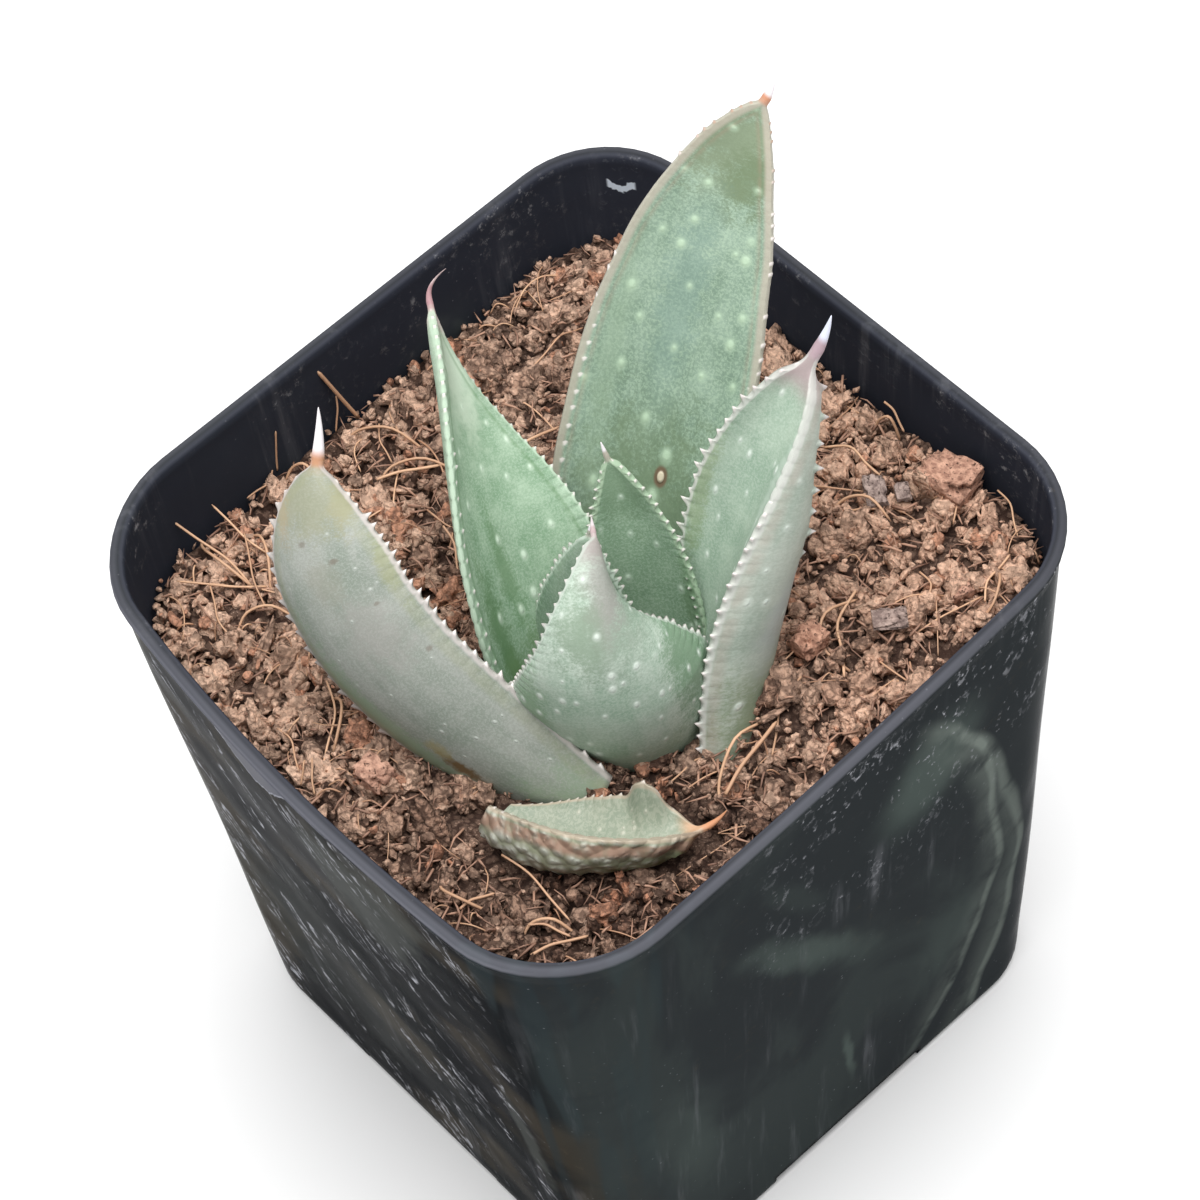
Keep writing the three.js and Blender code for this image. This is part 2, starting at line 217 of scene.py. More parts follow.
# %% [markdown]
# ## Finishes
# A finish holds one material. Every node comes from its one method that sets the node's options first
# and then its sockets. The rest are the few moves that all the surfaces repeat: a cloudy noise, cells,
# a soft step up or down, blots, a waver that bends an edge, and coats of colour laid one over another.
# A colour is written as red, green and blue from 0 to 255, as a picture editor shows it.


# %% Finishes
class Finish:
    def __init__(self, name):
        self.material = bpy.data.materials.new(name)
        self.material.use_nodes = True
        self.tree = self.material.node_tree
        self.tree.nodes.clear()

    def node(self, kind, settings=None, inputs=(), output=0):
        made = self.tree.nodes.new(kind)
        for key, value in (settings or {}).items():
            setattr(made, key, value)
        pairs = inputs.items() if isinstance(inputs, dict) else enumerate(inputs)
        for key, value in pairs:
            if isinstance(value, Wire):
                self.tree.links.new(value.socket, made.inputs[key])
            else:
                made.inputs[key].default_value = value
        return Wire(self, made.outputs[output]) if made.outputs else None

    def number(self, name):
        return self.node("ShaderNodeAttribute", {"attribute_name": name}, output=2)

    def arrow(self, name):
        return self.node("ShaderNodeAttribute", {"attribute_name": name}, output=1)

    def place_mm(self):
        at = self.node("ShaderNodeTexCoord", output=3)
        return self.node("ShaderNodeVectorMath", {"operation": "SCALE"}, {0: at, "Scale": 1000.0})

    def stretch(self, at, x, y, z):
        return self.node("ShaderNodeVectorMath", {"operation": "MULTIPLY"}, {0: at, 1: (x, y, z)})

    def cloud(self, at, scale, detail=3.0, rough=0.55, twist=0.0, output=0):
        inputs = {"Vector": at, "Scale": scale, "Detail": detail, "Roughness": rough, "Distortion": twist}
        return self.node("ShaderNodeTexNoise", {}, inputs, output)

    def cells(self, at, scale=1.0, spread=1.0, space="3D", output=0):
        inputs = {"Vector": at, "Scale": scale, "Randomness": spread}
        return self.node("ShaderNodeTexVoronoi", {"voronoi_dimensions": space}, inputs, output)

    def channel(self, colour, index):
        return self.node("ShaderNodeSeparateColor", {}, [colour], index)

    def step(self, value, low, high, start=0.0, end=1.0):
        settings = {"interpolation_type": "SMOOTHSTEP", "clamp": True}
        return self.node("ShaderNodeMapRange", settings, {0: value, 1: low, 2: high, 3: start, 4: end})

    def fade(self, value, low, high):
        return self.step(value, low, high, 1.0, 0.0)

    def blots(self, at, scale, detail, low, high, rough=0.55):
        return self.step(self.cloud(at, scale, detail, rough), low, high)

    def waver(self, at, scale, detail, amount, rough=0.55):
        return (self.cloud(at, scale, detail, rough) - 0.5) * amount

    def mix(self, mask, first, second):
        settings = {"data_type": "RGBA", "clamp_factor": True}
        first, second = (c if isinstance(c, Wire) else srgb(*c) for c in (first, second))
        return self.node("ShaderNodeMix", settings, {0: mask, 6: first, 7: second}, output=2)

    def coats(self, base, *coats):
        for mask, colour in coats:
            base = self.mix(mask, base, colour)
        return base

    def bump(self, height, strength, distance_mm):
        inputs = {"Height": height, "Strength": strength, "Distance": distance_mm / 1000}
        return self.node("ShaderNodeBump", {}, inputs)

    def surface(self, **inputs):
        named = {key.replace("_", " "): value for key, value in inputs.items()}
        shader = self.node("ShaderNodeBsdfPrincipled", {}, named)
        self.node("ShaderNodeOutputMaterial", {}, {"Surface": shader})
        print("finish:", self.material.name, "with", len(self.tree.nodes), "nodes")
        return self.material


# %% [markdown]
# ## Floor and light
# The photograph is a cut-out on white with a soft shadow close to the pot. A pale floor, an even
# white sky and two large soft lamps give that: a key lamp almost straight above, and a weaker one
# on the left of the picture that keeps the front-left wall from going black.


# %% Floor and light
def build_floor(half=3):
    finish = Finish("pale_floor")
    material = finish.surface(Base_Color=(0.88, 0.88, 0.88, 1), Roughness=0.9, Specular_IOR_Level=0.1)
    mesh = bpy.data.meshes.new("floor")
    corners = [(-half, -half, 0), (half, -half, 0), (half, half, 0), (-half, half, 0)]
    mesh.from_pydata(corners, [], [(0, 1, 2, 3)])
    mesh.materials.append(material)
    floor = bpy.data.objects.new("floor", mesh)
    scene.collection.objects.link(floor)


def add_lamp(name, offset_mm, size_mm, power):
    lamp = bpy.data.lights.new(name, "AREA")
    lamp.shape = "DISK"
    lamp.size = size_mm / 1000
    lamp.energy = power
    holder = bpy.data.objects.new(name, lamp)
    scene.collection.objects.link(holder)
    centre = Vector((0, 0, 0.06))
    holder.location = centre + Vector(offset_mm) / 1000
    holder.rotation_euler = (centre - holder.location).to_track_quat("-Z", "Y").to_euler()


build_floor()
across = Vector((RIGHT_X, RIGHT_Y, 0))
away = Vector((-RIGHT_Y, RIGHT_X, 0))
add_lamp("key_lamp", across * 20 - away * 40 + UP * 800, 700, 7.8)
add_lamp("side_lamp", across * -420 - away * 300 + UP * 640, 500, 0.6)
world = bpy.data.worlds.new("soft_sky")
world.use_nodes = True
sky = world.node_tree.nodes["Background"]
sky.inputs["Color"].default_value = (1, 1, 1, 1)
sky.inputs["Strength"].default_value = 0.66
scene.world = world
scene.view_settings.view_transform = "Standard"

# %% [markdown]
# ## The pot
# The pot is injection-moulded in black plastic, about a millimetre thick, so its sides bulge and the
# rim is slightly out of square. It is drawn here from the same rounded squares as its solid, with many
# more points, a rounded lip, four feet and drain holes. The faces get a faint waviness, which is what
# breaks up the reflections on such thin plastic.

# %% Pot outline
POT_HEIGHT, POT_TOP, POT_BOTTOM = 76, 70, 62
RIM_CORNER, BASE_CORNER = 11.5, 9
RIM_SHEAR, BULGE_PLUS_X, BULGE_MINUS_Y = -0.035, 0.7, 2.9
CORNER_STEPS, SIDE_STEPS = 12, 16


def half_and_corner(z, inset):
    f = min(1.0, max(0.0, z / POT_HEIGHT))
    half = (POT_BOTTOM + (POT_TOP - POT_BOTTOM) * f) / 2 - inset
    return f, half, BASE_CORNER + (RIM_CORNER - BASE_CORNER) * f - inset


def pot_ring(z, inset):
    f, half, radius = half_and_corner(z, inset)
    flat = half - radius
    quarter = [
        (flat + radius * math.cos(a), flat + radius * math.sin(a))
        for a in (math.radians(90 * i / CORNER_STEPS) for i in range(CORNER_STEPS + 1))
    ]
    quarter += [(flat - 2 * flat * i / SIDE_STEPS, half) for i in range(1, SIDE_STEPS)]
    ring = []
    for corner in range(4):
        for x, y in quarter:
            for _ in range(corner):
                x, y = -y, x
            across_x = max(0, 1 - (x / half) ** 2)
            across_y = max(0, 1 - (y / half) ** 2)
            out_x = BULGE_PLUS_X * across_y * max(0, 2 * x / half - 1) if x > 0 else 0
            out_y = -BULGE_MINUS_Y * across_x * max(0, -2 * y / half - 1) if y < 0 else 0
            px, py = x + out_x * f**1.5, y + out_y * f**1.5
            ring.append((px + RIM_SHEAR * f * py, py + RIM_SHEAR * f * px, z))
    return ring


print("pot ring points:", len(pot_ring(0, 0)))

# %% [markdown]
# ## Scuffs on the front-left face
# The pot's plastic is nearly black and quite dull. Handling has left a field of slanting scuffs on the
# front-left face. They look like flattened curls, so they are drawn as the outlines of long flat
# cells laid along that slant, with short strokes and hairs between them. Noise bends and breaks them.


# %% Scuffs
def long_cells(finish, along, over, length, width, seed):
    # The distance to the middle of each long cell, and a lot that is the same all over it
    at = finish.node("ShaderNodeCombineXYZ", {}, [along / length + seed, over / width, 0.0])
    lot = finish.cells(at, spread=0.95, space="2D", output=1)
    return finish.cells(at, spread=0.95, space="2D"), finish.channel(lot, 0)


def scuff_mask(finish, at):
    down = finish.node("ShaderNodeVectorMath", {"operation": "DOT_PRODUCT"}, [at, (0.5, 0.0, -0.87)], 1)
    over = finish.node("ShaderNodeVectorMath", {"operation": "DOT_PRODUCT"}, [at, (0.87, 0.0, 0.5)], 1)
    over = over + finish.waver(at, 0.1, 3.0, 7.0) + finish.waver(at, 0.55, 3.0, 1.8, 0.65)
    down = down + finish.waver(at, 0.3, 3.0, 5.0)
    curl, lot = long_cells(finish, down, over, 13.0, 2.8, 0.0)
    chosen = finish.step(lot, 0.42, 0.47)
    ring = finish.fade(abs(curl - 0.14 - lot * 0.2), 0.02, 0.1) * chosen
    filled = finish.fade(curl, 0.1, 0.4) * chosen
    stroke, lot = long_cells(finish, down, over, 3.8, 1.3, 7.3)
    short = finish.fade(stroke, 0.04, 0.28) * finish.step(lot, 0.5, 0.75)
    hair, lot = long_cells(finish, down, over, 10.0, 0.9, 3.1)
    hairs = finish.fade(hair, 0.03, 0.12) * finish.step(lot, 0.6, 0.8)
    broken = finish.blots(at, 0.7, 4.0, 0.4, 0.58, 0.7)
    crowd = finish.blots(at, 0.1, 3.0, 0.4, 0.58)
    return ((ring + short * 0.65) * broken + filled * 0.14 + hairs * 0.35) * (0.2 + crowd * 0.8)


print("scuffs lean", round(math.degrees(math.atan2(0.5, 0.87))), "degrees from the upright")

# %% [markdown]
# ## Painted reflections on the right face
# Reflections on the glossy right face are painted into its colour: the whole face is a little lighter, with a
# broad cloud, two soft arcs and a few blurred crescents. A splash of dried droplets high on it also lightens
# that part as a painted reflection. Each arc and crescent is an ellipse on the wall whose distance is bent by
# noise, which gives it a natural edge.

# %% Painted reflections
# Painted reflection crescents: y, z, half width, half height, slant in degrees, strength
REFLECTION_CRESCENTS = [
    (-7.0, 47.5, 3.2, 17.0, 38, 0.75), (-8.0, 60.0, 2.2, 11.0, 30, 0.35), (0.2, 16.0, 0.9, 7.0, 8, 0.55),
    (9.0, 61.0, 8.0, 10.0, -30, 0.9), (-22.0, 30.0, 5.0, 16.0, 10, 0.25), (14.0, 22.0, 6.0, 10.0, -10, 0.2),
]
# Painted reflection arcs: y, z, half width, half height
REFLECTION_ARCS = [(-2.0, 28.0, 25.0, 44.0), (1.0, 36.0, 19.0, 36.0)]
# Pale patches painted as reflections on the front-left face: x, z, half width, half height, slant, strength
REFLECTION_PATCHES = [
    (9.4, 64.0, 8.5, 13.0, -12, 0.6), (22.4, 31.0, 1.5, 10.0, 8, 0.5), (-10.0, 26.0, 16.0, 18.0, 20, 0.22),
]


def ellipse_gap(finish, y, z, middle_y, middle_z, wide, tall, slant=0.0):
    c, s = math.cos(math.radians(slant)), math.sin(math.radians(slant))
    dy, dz = y - middle_y, z - middle_z
    over, along = (dy * c + dz * s) / wide, (dz * c - dy * s) / tall
    return finish.node("ShaderNodeMath", {"operation": "SQRT"}, [over * over + along * along])


# Painted reflections on the right face: a broad cloud and the crescents
def reflection_mask(finish, at, y, z):
    bent_y, bent_z = y + finish.waver(at, 0.15, 3.0, 3.0), z + finish.waver(at, 0.17, 3.0, 4.0)
    wide_cloud = finish.cloud(finish.stretch(at, 0.05, 0.05, 0.03), 1.0, 4.0, 0.55, 0.9)
    reflection_haze = finish.step(wide_cloud, 0.42, 0.66) * 0.35
    for *ellipse, strength in REFLECTION_CRESCENTS:
        reflection_haze = reflection_haze + finish.fade(ellipse_gap(finish, bent_y, bent_z, *ellipse), 0.25, 1.2) * strength
    return reflection_haze


# Painted reflections: thin bright arcs with a paler band inside them
def reflection_arc_mask(finish, at, y, z):
    bent_y, bent_z = y + finish.waver(at, 0.06, 1.0, 5.0), z + finish.waver(at, 0.05, 1.0, 4.0)
    lines = 0.0
    for ellipse in REFLECTION_ARCS:
        gap = ellipse_gap(finish, bent_y, bent_z, *ellipse)
        thin = finish.fade(abs(gap - 1.0), 0.008, 0.04)
        shaded = finish.step(gap, 0.8, 0.99) * finish.fade(gap, 0.99, 1.04)
        lines = lines + thin * 0.6 + shaded * 0.45
    return lines * finish.step(y, 6.0, 14.0) * finish.blots(at, 0.2, 3.0, 0.25, 0.6)


def splash_and_sheen_mask(finish, at, y, z):
    # Dried droplets, ragged loops and runs, high on the face, which also lighten it as a painted reflection
    y, z = y + finish.waver(at, 0.7, 3.0, 2.4, 0.7), z + finish.waver(at, 0.8, 3.0, 2.4, 0.7)
    loop, lot = long_cells(finish, z, y, 5.2, 2.6, 1.7)
    ring = finish.fade(abs(loop - 0.1 - lot * 0.2), 0.02, 0.1) * finish.step(lot, 0.6, 0.65)
    run, lot = long_cells(finish, z + y * 0.4, y, 4.6, 0.9, 5.9)
    streak = finish.fade(run, 0.04, 0.3) * finish.step(lot, 0.55, 0.8)
    drop, lot = long_cells(finish, z, y, 1.1, 0.9, 8.3)
    drops = finish.fade(drop, 0.06, 0.26) * finish.step(lot, 0.6, 0.8)
    broken = finish.blots(at, 0.8, 4.0, 0.4, 0.58, 0.75)
    crowd = finish.blots(at, 0.1, 3.0, 0.4, 0.55)
    high_up = finish.step(z, 40.0, 64.0) * finish.step(y, -20.0, 0.0)
    return ((ring + streak) * broken * 0.8 + drops * (0.3 + broken)) * crowd * high_up


# Pale patches painted as reflections on the front-left face
def reflection_patch_mask(finish, at, x, z):
    bent_z = z + finish.waver(at, 0.17, 3.0, 4.0)
    reflected = 0.0
    for *ellipse, strength in REFLECTION_PATCHES:
        gap = ellipse_gap(finish, x, bent_z, *ellipse) + finish.waver(at, 0.16, 4.0, 1.6, 0.65)
        reflected = reflected + finish.fade(gap, 0.5, 1.15) * strength
    return reflected


print("marks on the walls:", len(REFLECTION_CRESCENTS), "crescents,", len(REFLECTION_ARCS), "arcs,", len(REFLECTION_PATCHES), "smudges")

# %% [markdown]
# ## Film and white fleck
# Under the lip at the front left hangs a ragged grey film of plastic left over from moulding, with a
# brighter rim and one deeper tongue. High on the inner wall of the back corner sits a small white fleck.
# Both are cut out of the wall by heights that noise makes uneven.

# %% Film and white fleck
FILM_TOP = 74.7
FLECK_AT = (-31.1, 34.2, 71.3)


def moulding_film(finish, at, x, z):
    tongue = finish.step(x, -12.0, -4.4) * finish.fade(x, -3.6, 4.0)
    ragged = finish.cloud(finish.stretch(at, 0.5, 0.0, 0.0), 1.0, 4.0, 0.7)
    hanging = (ragged - 0.35) * 3.0 * finish.step(x, -26.0, -18.0) * finish.fade(x, 4.0, 9.0)
    above = z - (FILM_TOP - tongue * 5.0 - hanging)
    film = finish.step(above, -0.1, 0.1) * finish.fade(x, 7.0, 10.0)
    return film, finish.fade(abs(above), 0.1, 0.4)


def white_fleck(finish, at, axes):
    side = (axes[0] - FLECK_AT[0]) * 0.59 + (axes[1] - FLECK_AT[1]) * 0.81
    rise = axes[2] - FLECK_AT[2] - abs(side) * 0.6 + finish.waver(at, 1.2, 2.0, 1.2)
    chip = finish.fade(abs(rise), 0.4, 0.55) * finish.fade(abs(side), 1.2, 1.5)
    return chip * finish.fade(axes[0], -24.4, -22.4)


print("lime chip", POT_HEIGHT - FLECK_AT[2], "mm under the rim")

# %% [markdown]
# ## The black plastic
# All these marks mix lighter greys over the black. They also raise the roughness, because dust is matte. Some
# of them
# are painted light: reflections on the right face and on the front-left face, a sheen on the inner walls, a
# highlight that joins the wear on the lip, and long bands of reflected light down the front corner. The
# painted numbers say where the lip, the inside, the scuffed face and the face with the painted reflections
# are. Pale specks and drips lie on every wall, and soil stains the scuffed one.


# %% Black plastic
def dust_masks(finish, at):
    crowd = finish.blots(at, 0.07, 3.0, 0.4, 0.62)
    largest = 0.04 + finish.cloud(at, 0.5, 2.0) * 0.16
    speck = finish.fade(finish.cells(at, 0.8), 0.02, largest) * (0.15 + crowd * 0.85)
    drips = finish.blots(finish.stretch(at, 0.35, 0.35, 0.02), 1.0, 4.0, 0.5, 0.7, 0.65)
    drips = drips * finish.blots(at, 0.05, 2.0, 0.42, 0.6)
    dirt = finish.blots(at, 0.8, 5.0, 0.52, 0.72, 0.75) * finish.blots(at, 0.13, 3.0, 0.48, 0.66)
    return speck, drips, dirt


def pot_plastic():
    finish = Finish("black_pot_plastic")
    at = finish.place_mm()
    axes = [finish.node("ShaderNodeSeparateXYZ", {}, [at], k) for k in range(3)]
    x, y, z = axes[0] + ORIGIN_X, axes[1] + ORIGIN_Y, axes[2]
    lip, inside = finish.number("lip"), finish.number("inside")
    scuffed_face, smeared_face = finish.number("scuffed"), finish.number("smeared")
    below_lip = 1 - lip
    speck, drips, dirt = dust_masks(finish, at)
    scuffs = scuff_mask(finish, at) * scuffed_face * below_lip * finish.fade(x, 21.0, 27.0)
    splash_and_sheen = splash_and_sheen_mask(finish, at, y, z) * smeared_face * below_lip
    reflection_haze = reflection_mask(finish, at, y, z)
    film, film_rim = moulding_film(finish, at, x, z)
    film = film * scuffed_face * below_lip
    chip = white_fleck(finish, at, axes) * inside
    bands = finish.blots(finish.stretch(at, 0.42, 0.42, 0.006), 1.0, 2.0, 0.46, 0.6, 0.4)
    stained = finish.blots(at, 0.06, 3.0, 0.48, 0.66) * scuffed_face
    rim_dust = dirt * inside * (0.25 + finish.step(z, 68.0, 73.0) * 0.5)
    # Dust, plus the splash, which also lightens the right face as a painted reflection
    dust_and_sheen = speck * 0.4 + scuffs * 0.9 + rim_dust + splash_and_sheen * 0.62 + drips * 0.2
    # The lip's paler grey is partly wear and partly a painted highlight, strongest towards the front
    lip_wear_and_highlight = 0.35 + finish.step(x - y, 0.0, 34.0) * 0.2 + scuffed_face * 0.45
    colour = finish.coats(
        finish.mix(finish.blots(at, 0.045, 3.0, 0.4, 0.6), (13, 15, 19), (20, 23, 25)),
        # Painted reflection: the right face, and a little the inside, lighter all over
        (smeared_face * 0.9, (43, 47, 49)),
        # Painted sheen: the inner walls lighter and bluer
        (inside * 0.8, (52, 55, 66)),
        (stained * 0.6 + dirt * 0.3, (66, 60, 50)),
        (bands * finish.step(x - y, 54.0, 62.0) * 0.8, (41, 49, 52)),
        # Painted reflections: haze, crescents and arcs on the right face, and pale patches on the front-left
        # face
        (finish.step(reflection_haze, 0.0, 1.3) * smeared_face, (76, 86, 82)),
        (reflection_patch_mask(finish, at, x, z) * scuffed_face, (80, 83, 80)),
        (reflection_arc_mask(finish, at, y, z) * smeared_face * 0.55, (112, 120, 114)),
        (finish.step(dust_and_sheen, -0.05, 1.1), (160, 161, 167)),
        # Painted highlight and wear on the lip
        (lip * lip_wear_and_highlight, (106, 107, 115)),
        (film * (0.55 + film_rim * 0.35), (124, 126, 138)),
        (film * film_rim * finish.step(x, -24.0, -14.0) * 0.6, (164, 166, 176)),
        (chip, (206, 218, 232)),
    )
    rough = 0.1 + dust_and_sheen * 0.35 + finish.cloud(at, 0.12, 3.0) * 0.08 + reflection_haze * 0.08 + lip * 0.2 + inside * 0.15
    height = finish.cloud(at, 0.05, 2.0) * 4.0 + finish.cloud(at, 2.4, 2.0) * 0.02 + film * 0.6
    return finish.surface(
        Base_Color=colour,
        Roughness=rough,
        Normal=finish.bump(height, 0.35, 0.5),
        Specular_IOR_Level=0.0006,
    )


POT_FINISH = pot_plastic()

# %% [markdown]
# The outside and the inside are one closed skin, swept from ring to ring: up the outer wall, over the
# lip, down the inner wall and across the floor. The feet are what is left between two crossing grooves
# under the base, and those grooves and the drain holes are cut with Boolean modifiers, which is the
# plain way to cut a clean opening in a closed mesh.


# %% Cut the pot
def cutter_box(low, high):
    corners = [(x, y, z) for x in (low[0], high[0]) for y in (low[1], high[1]) for z in (low[2], high[2])]
    faces = [(0, 1, 3, 2), (4, 6, 7, 5), (0, 4, 5, 1), (2, 3, 7, 6), (0, 2, 6, 4), (1, 5, 7, 3)]
    return corners, faces


def cutter_drum(x, y, low, high, radius, sides=28):
    turn = [2 * math.pi * i / sides for i in range(sides)]
    points = [(x + radius * math.cos(a), y + radius * math.sin(a), z) for z in (low, high) for a in turn]
    return points, skin_faces(2, sides)


def cut(piece, points, faces):
    mesh = bpy.data.meshes.new("cutter")
    mesh.from_pydata(metres(points).tolist(), [], faces)
    tool = bpy.data.objects.new("cutter", mesh)
    scene.collection.objects.link(tool)
    knife = piece.modifiers.new("cut", "BOOLEAN")
    knife.operation = "DIFFERENCE"
    knife.object = tool
    bpy.context.view_layer.update()
    carved = bpy.data.meshes.new_from_object(piece.evaluated_get(bpy.context.evaluated_depsgraph_get()))
    piece.modifiers.clear()
    piece.data = carved
    bpy.data.objects.remove(tool)


print("faces of a drain hole's cutter:", len(cutter_drum(0, 0, 0, 1, 1)[1]))

# %% [markdown]
# Each level of the wall is a height and how far it is set in from the pot's outline. The four painted
# numbers are worked out point by point as the rings go up: the lip, the inside, and the two front
# faces, each fading out round its corner.

# %% Build the pot
LIP = POT_HEIGHT - 1.3
OUTER_WALL = [(0, 1.2), (0.15, 0.7), (0.7, 0.12), (1.4, 0)]
OUTER_WALL += [(z, 0) for z in (3, 6, 10, 15, 20, 26, 32, 38, 44, 50, 56, 61, 66, 70, 73)]
OUTER_WALL += [(LIP, 0), (LIP + 0.12, -0.18), (LIP + 0.3, -0.33), (LIP + 0.7, -0.36), (75.7, -0.28)]
OVER_LIP = [(75.92, -0.1), (76, 0.2), (75.97, 0.55), (75.82, 0.85), (75.5, 1.02)]
OVER_LIP += [(LIP + 0.1, 1.04), (LIP - 0.3, 1.0)]
INNER_WALL = [(z, 1.0) for z in (73, 70, 67, 64, 60, 50, 40, 26, 12, 6, 4.2)] + [(3.3, 1.4), (3, 2.2)]
DRAIN_HOLES = [(0, 0), (19, 0), (-19, 0), (0, 19), (0, -19)]


def build_pot():
    levels = OUTER_WALL + OVER_LIP + INNER_WALL
    points, lips, insides, scuffs, reflecting_sides = [], [], [], [], []
    for index, (z, inset) in enumerate(levels):
        outside = index < len(OUTER_WALL)
        for x, y, _ in pot_ring(z, inset):
            wave = noise.noise(Vector((x * 0.05, y * 0.05, z * 0.04))) * 0.22 if 3 < z < 73 else 0
            reach = math.hypot(x, y)
            points.append((x + x / reach * wave, y + y / reach * wave, z))
            lips.append(0.0 if z <= 75.6 else 1.0 if index < len(OUTER_WALL) + 2 else 0.5)
            insides.append(1.0 if index >= len(OUTER_WALL) + 3 else 0.0)
            scuffs.append(float(smooth_step(-22, -30, y) * smooth_step(33, 27, x)) if outside else 0)
            # The right face, and the inside a little, take the painted reflections
            reflecting_sides.append(float(smooth_step(26, 31, x)) if outside else 0.2)
    count = len(pot_ring(0, 0))
    pot = make_piece("pot_body", points, skin_faces(len(levels), count), POT_FINISH)
    paint(pot, lip=lips, inside=insides, scuffed=scuffs, smeared=reflecting_sides)
    cut(pot, *cutter_box((-50, -10.5, -1), (50, 10.5, 1.8)))
    cut(pot, *cutter_box((-10.5, -50, -1), (10.5, 50, 1.8)))
    for x, y in DRAIN_HOLES:
        cut(pot, *cutter_drum(x, y, -2, 6, 3))
    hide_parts("pot")
    print("pot faces after cutting:", len(pot.data.polygons))


build_pot()

# %% [markdown]
# ## The soil
# Coir soil is a heap of dark red-brown crumbs, from dust to lumps of three or four millimetres, with
# deep shadows between them. A bump map can't give that silhouette, so the bed is a rough surface with
# thousands of real crumbs pressed into it. Its level slopes a little, with a hollow at the left of the
# rosette and small mounds, the same as in its solid.

# %% Shape of the bed
SOIL_LEVEL, SLOPE_X, SLOPE_Y = 66.4, 0.035, 0.012
# x, y, rise, spread
SWELLS = [
    (-9, -12, -2.2, 40), (-2, -26, 1.4, 60), (22, 22, 1.5, 120), (17, 29.5, 2.2, 7), (21, 8, 1.6, 4),
    (24.5, 14.5, 1.2, 4), (22.2, 2.2, 2.5, 14), (18.2, -17.2, 0.9, 3), (24.4, -0.4, 1.2, 5),
]
SOIL_TOP, WALL = 67.0, 1.0


def bed_height(x, y):
    z = SOIL_LEVEL + SLOPE_X * x + SLOPE_Y * y
    for cx, cy, rise, spread in SWELLS:
        z = z + rise * np.exp(-((x - cx) ** 2 + (y - cy) ** 2) / spread)
    return z


def room_in_pot(x, y):
    # How far a place at the soil's level is from the inner wall
    f, half, radius = half_and_corner(SOIL_TOP, WALL)
    sx = x - RIM_SHEAR * f * y
    sy = y - RIM_SHEAR * f * x
    sy = np.where(sy < 0, sy + BULGE_MINUS_Y * f**1.5 * np.clip(1 - (sx / half) ** 2, 0, 1) * 0.9, sy)
    dx = np.maximum(np.abs(sx) - (half - radius), 0)
    dy = np.maximum(np.abs(sy) - (half - radius), 0)
    return radius - np.hypot(dx, dy)


print("bed height at the middle:", round(float(bed_height(0.0, 0.0)), 2))

# %% [markdown]
# The crumbs share one finish. Each carries a tone of its own, from nearly black through brown to a
# light reddish brown, and a few are redder. Grain within the crumb and painted shade in the seams between
# its granules keep it from looking like a pebble. Damp coir has almost no shine.


# %% Soil finish
def soil_crumbs():
    finish = Finish("coir_crumbs")
    at = finish.place_mm()
    tone, red = finish.number("tone"), finish.number("red")
    grain = finish.cloud(at, 1.6, 6.0, 0.7)
    fine = finish.cloud(at, 5.5, 3.0, 0.6)
    swirl = finish.cloud(at, 1.1, 2.0, 0.5, output=1)
    swirl = finish.node("ShaderNodeVectorMath", {"operation": "SCALE"}, {0: swirl, "Scale": 0.9})
    bent = finish.node("ShaderNodeVectorMath", {"operation": "ADD"}, [at, swirl])
    granule = finish.cells(bent, 1.3)
    brown = finish.mix(tone, (114, 90, 77), (255, 214, 186))
    shade = finish.mix(tone, (92, 71, 60), (156, 120, 102))
    colour = finish.coats(
        finish.mix(finish.step(grain, 0.27, 0.5), shade, finish.mix(red, brown, (220, 152, 118))),
        (finish.step(fine, 0.56, 0.72) * 0.6, (238, 202, 178)),
        # Painted shade in the seams between granules, weaker on pale crumbs
        (finish.step(granule, 0.36, 0.66) * (0.92 - tone * 0.62), (64, 45, 37)),
    )
    return finish.surface(
        Base_Color=colour,
        Roughness=0.92,
        Normal=finish.bump(grain + fine * 0.5 - granule * 1.4, 1.0, 0.5),
        Specular_IOR_Level=0.25,
    )


SOIL_FINISH = soil_crumbs()

# %% [markdown]
# The bed is a square grid, cut off where the walls begin and roughened by layers of noise. It lies
# about a millimetre under the soil's level, so the crumbs can stand on it. The soil's pieces are heaps
# of many small bodies in one mesh, which keeps the count of objects small.

# %% Build the bed
BED_HALF, BED_STEP, BED_DEPTH = 38, 0.55, 1.15


def make_heap(name, parts, finish, **layers):
    # A part is its points and faces, and a layer has one number for each part
    sizes = [len(points) for points, _ in parts]
    starts = accumulate(sizes, initial=0)
    faces = [tuple(start + k for k in face) for start, (_, part) in zip(starts, parts) for face in part]
    piece = make_piece(name, np.vstack([points for points, _ in parts]), faces, finish)
    paint(piece, **{layer: np.repeat(values, sizes) for layer, values in layers.items()})
    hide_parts("soil")


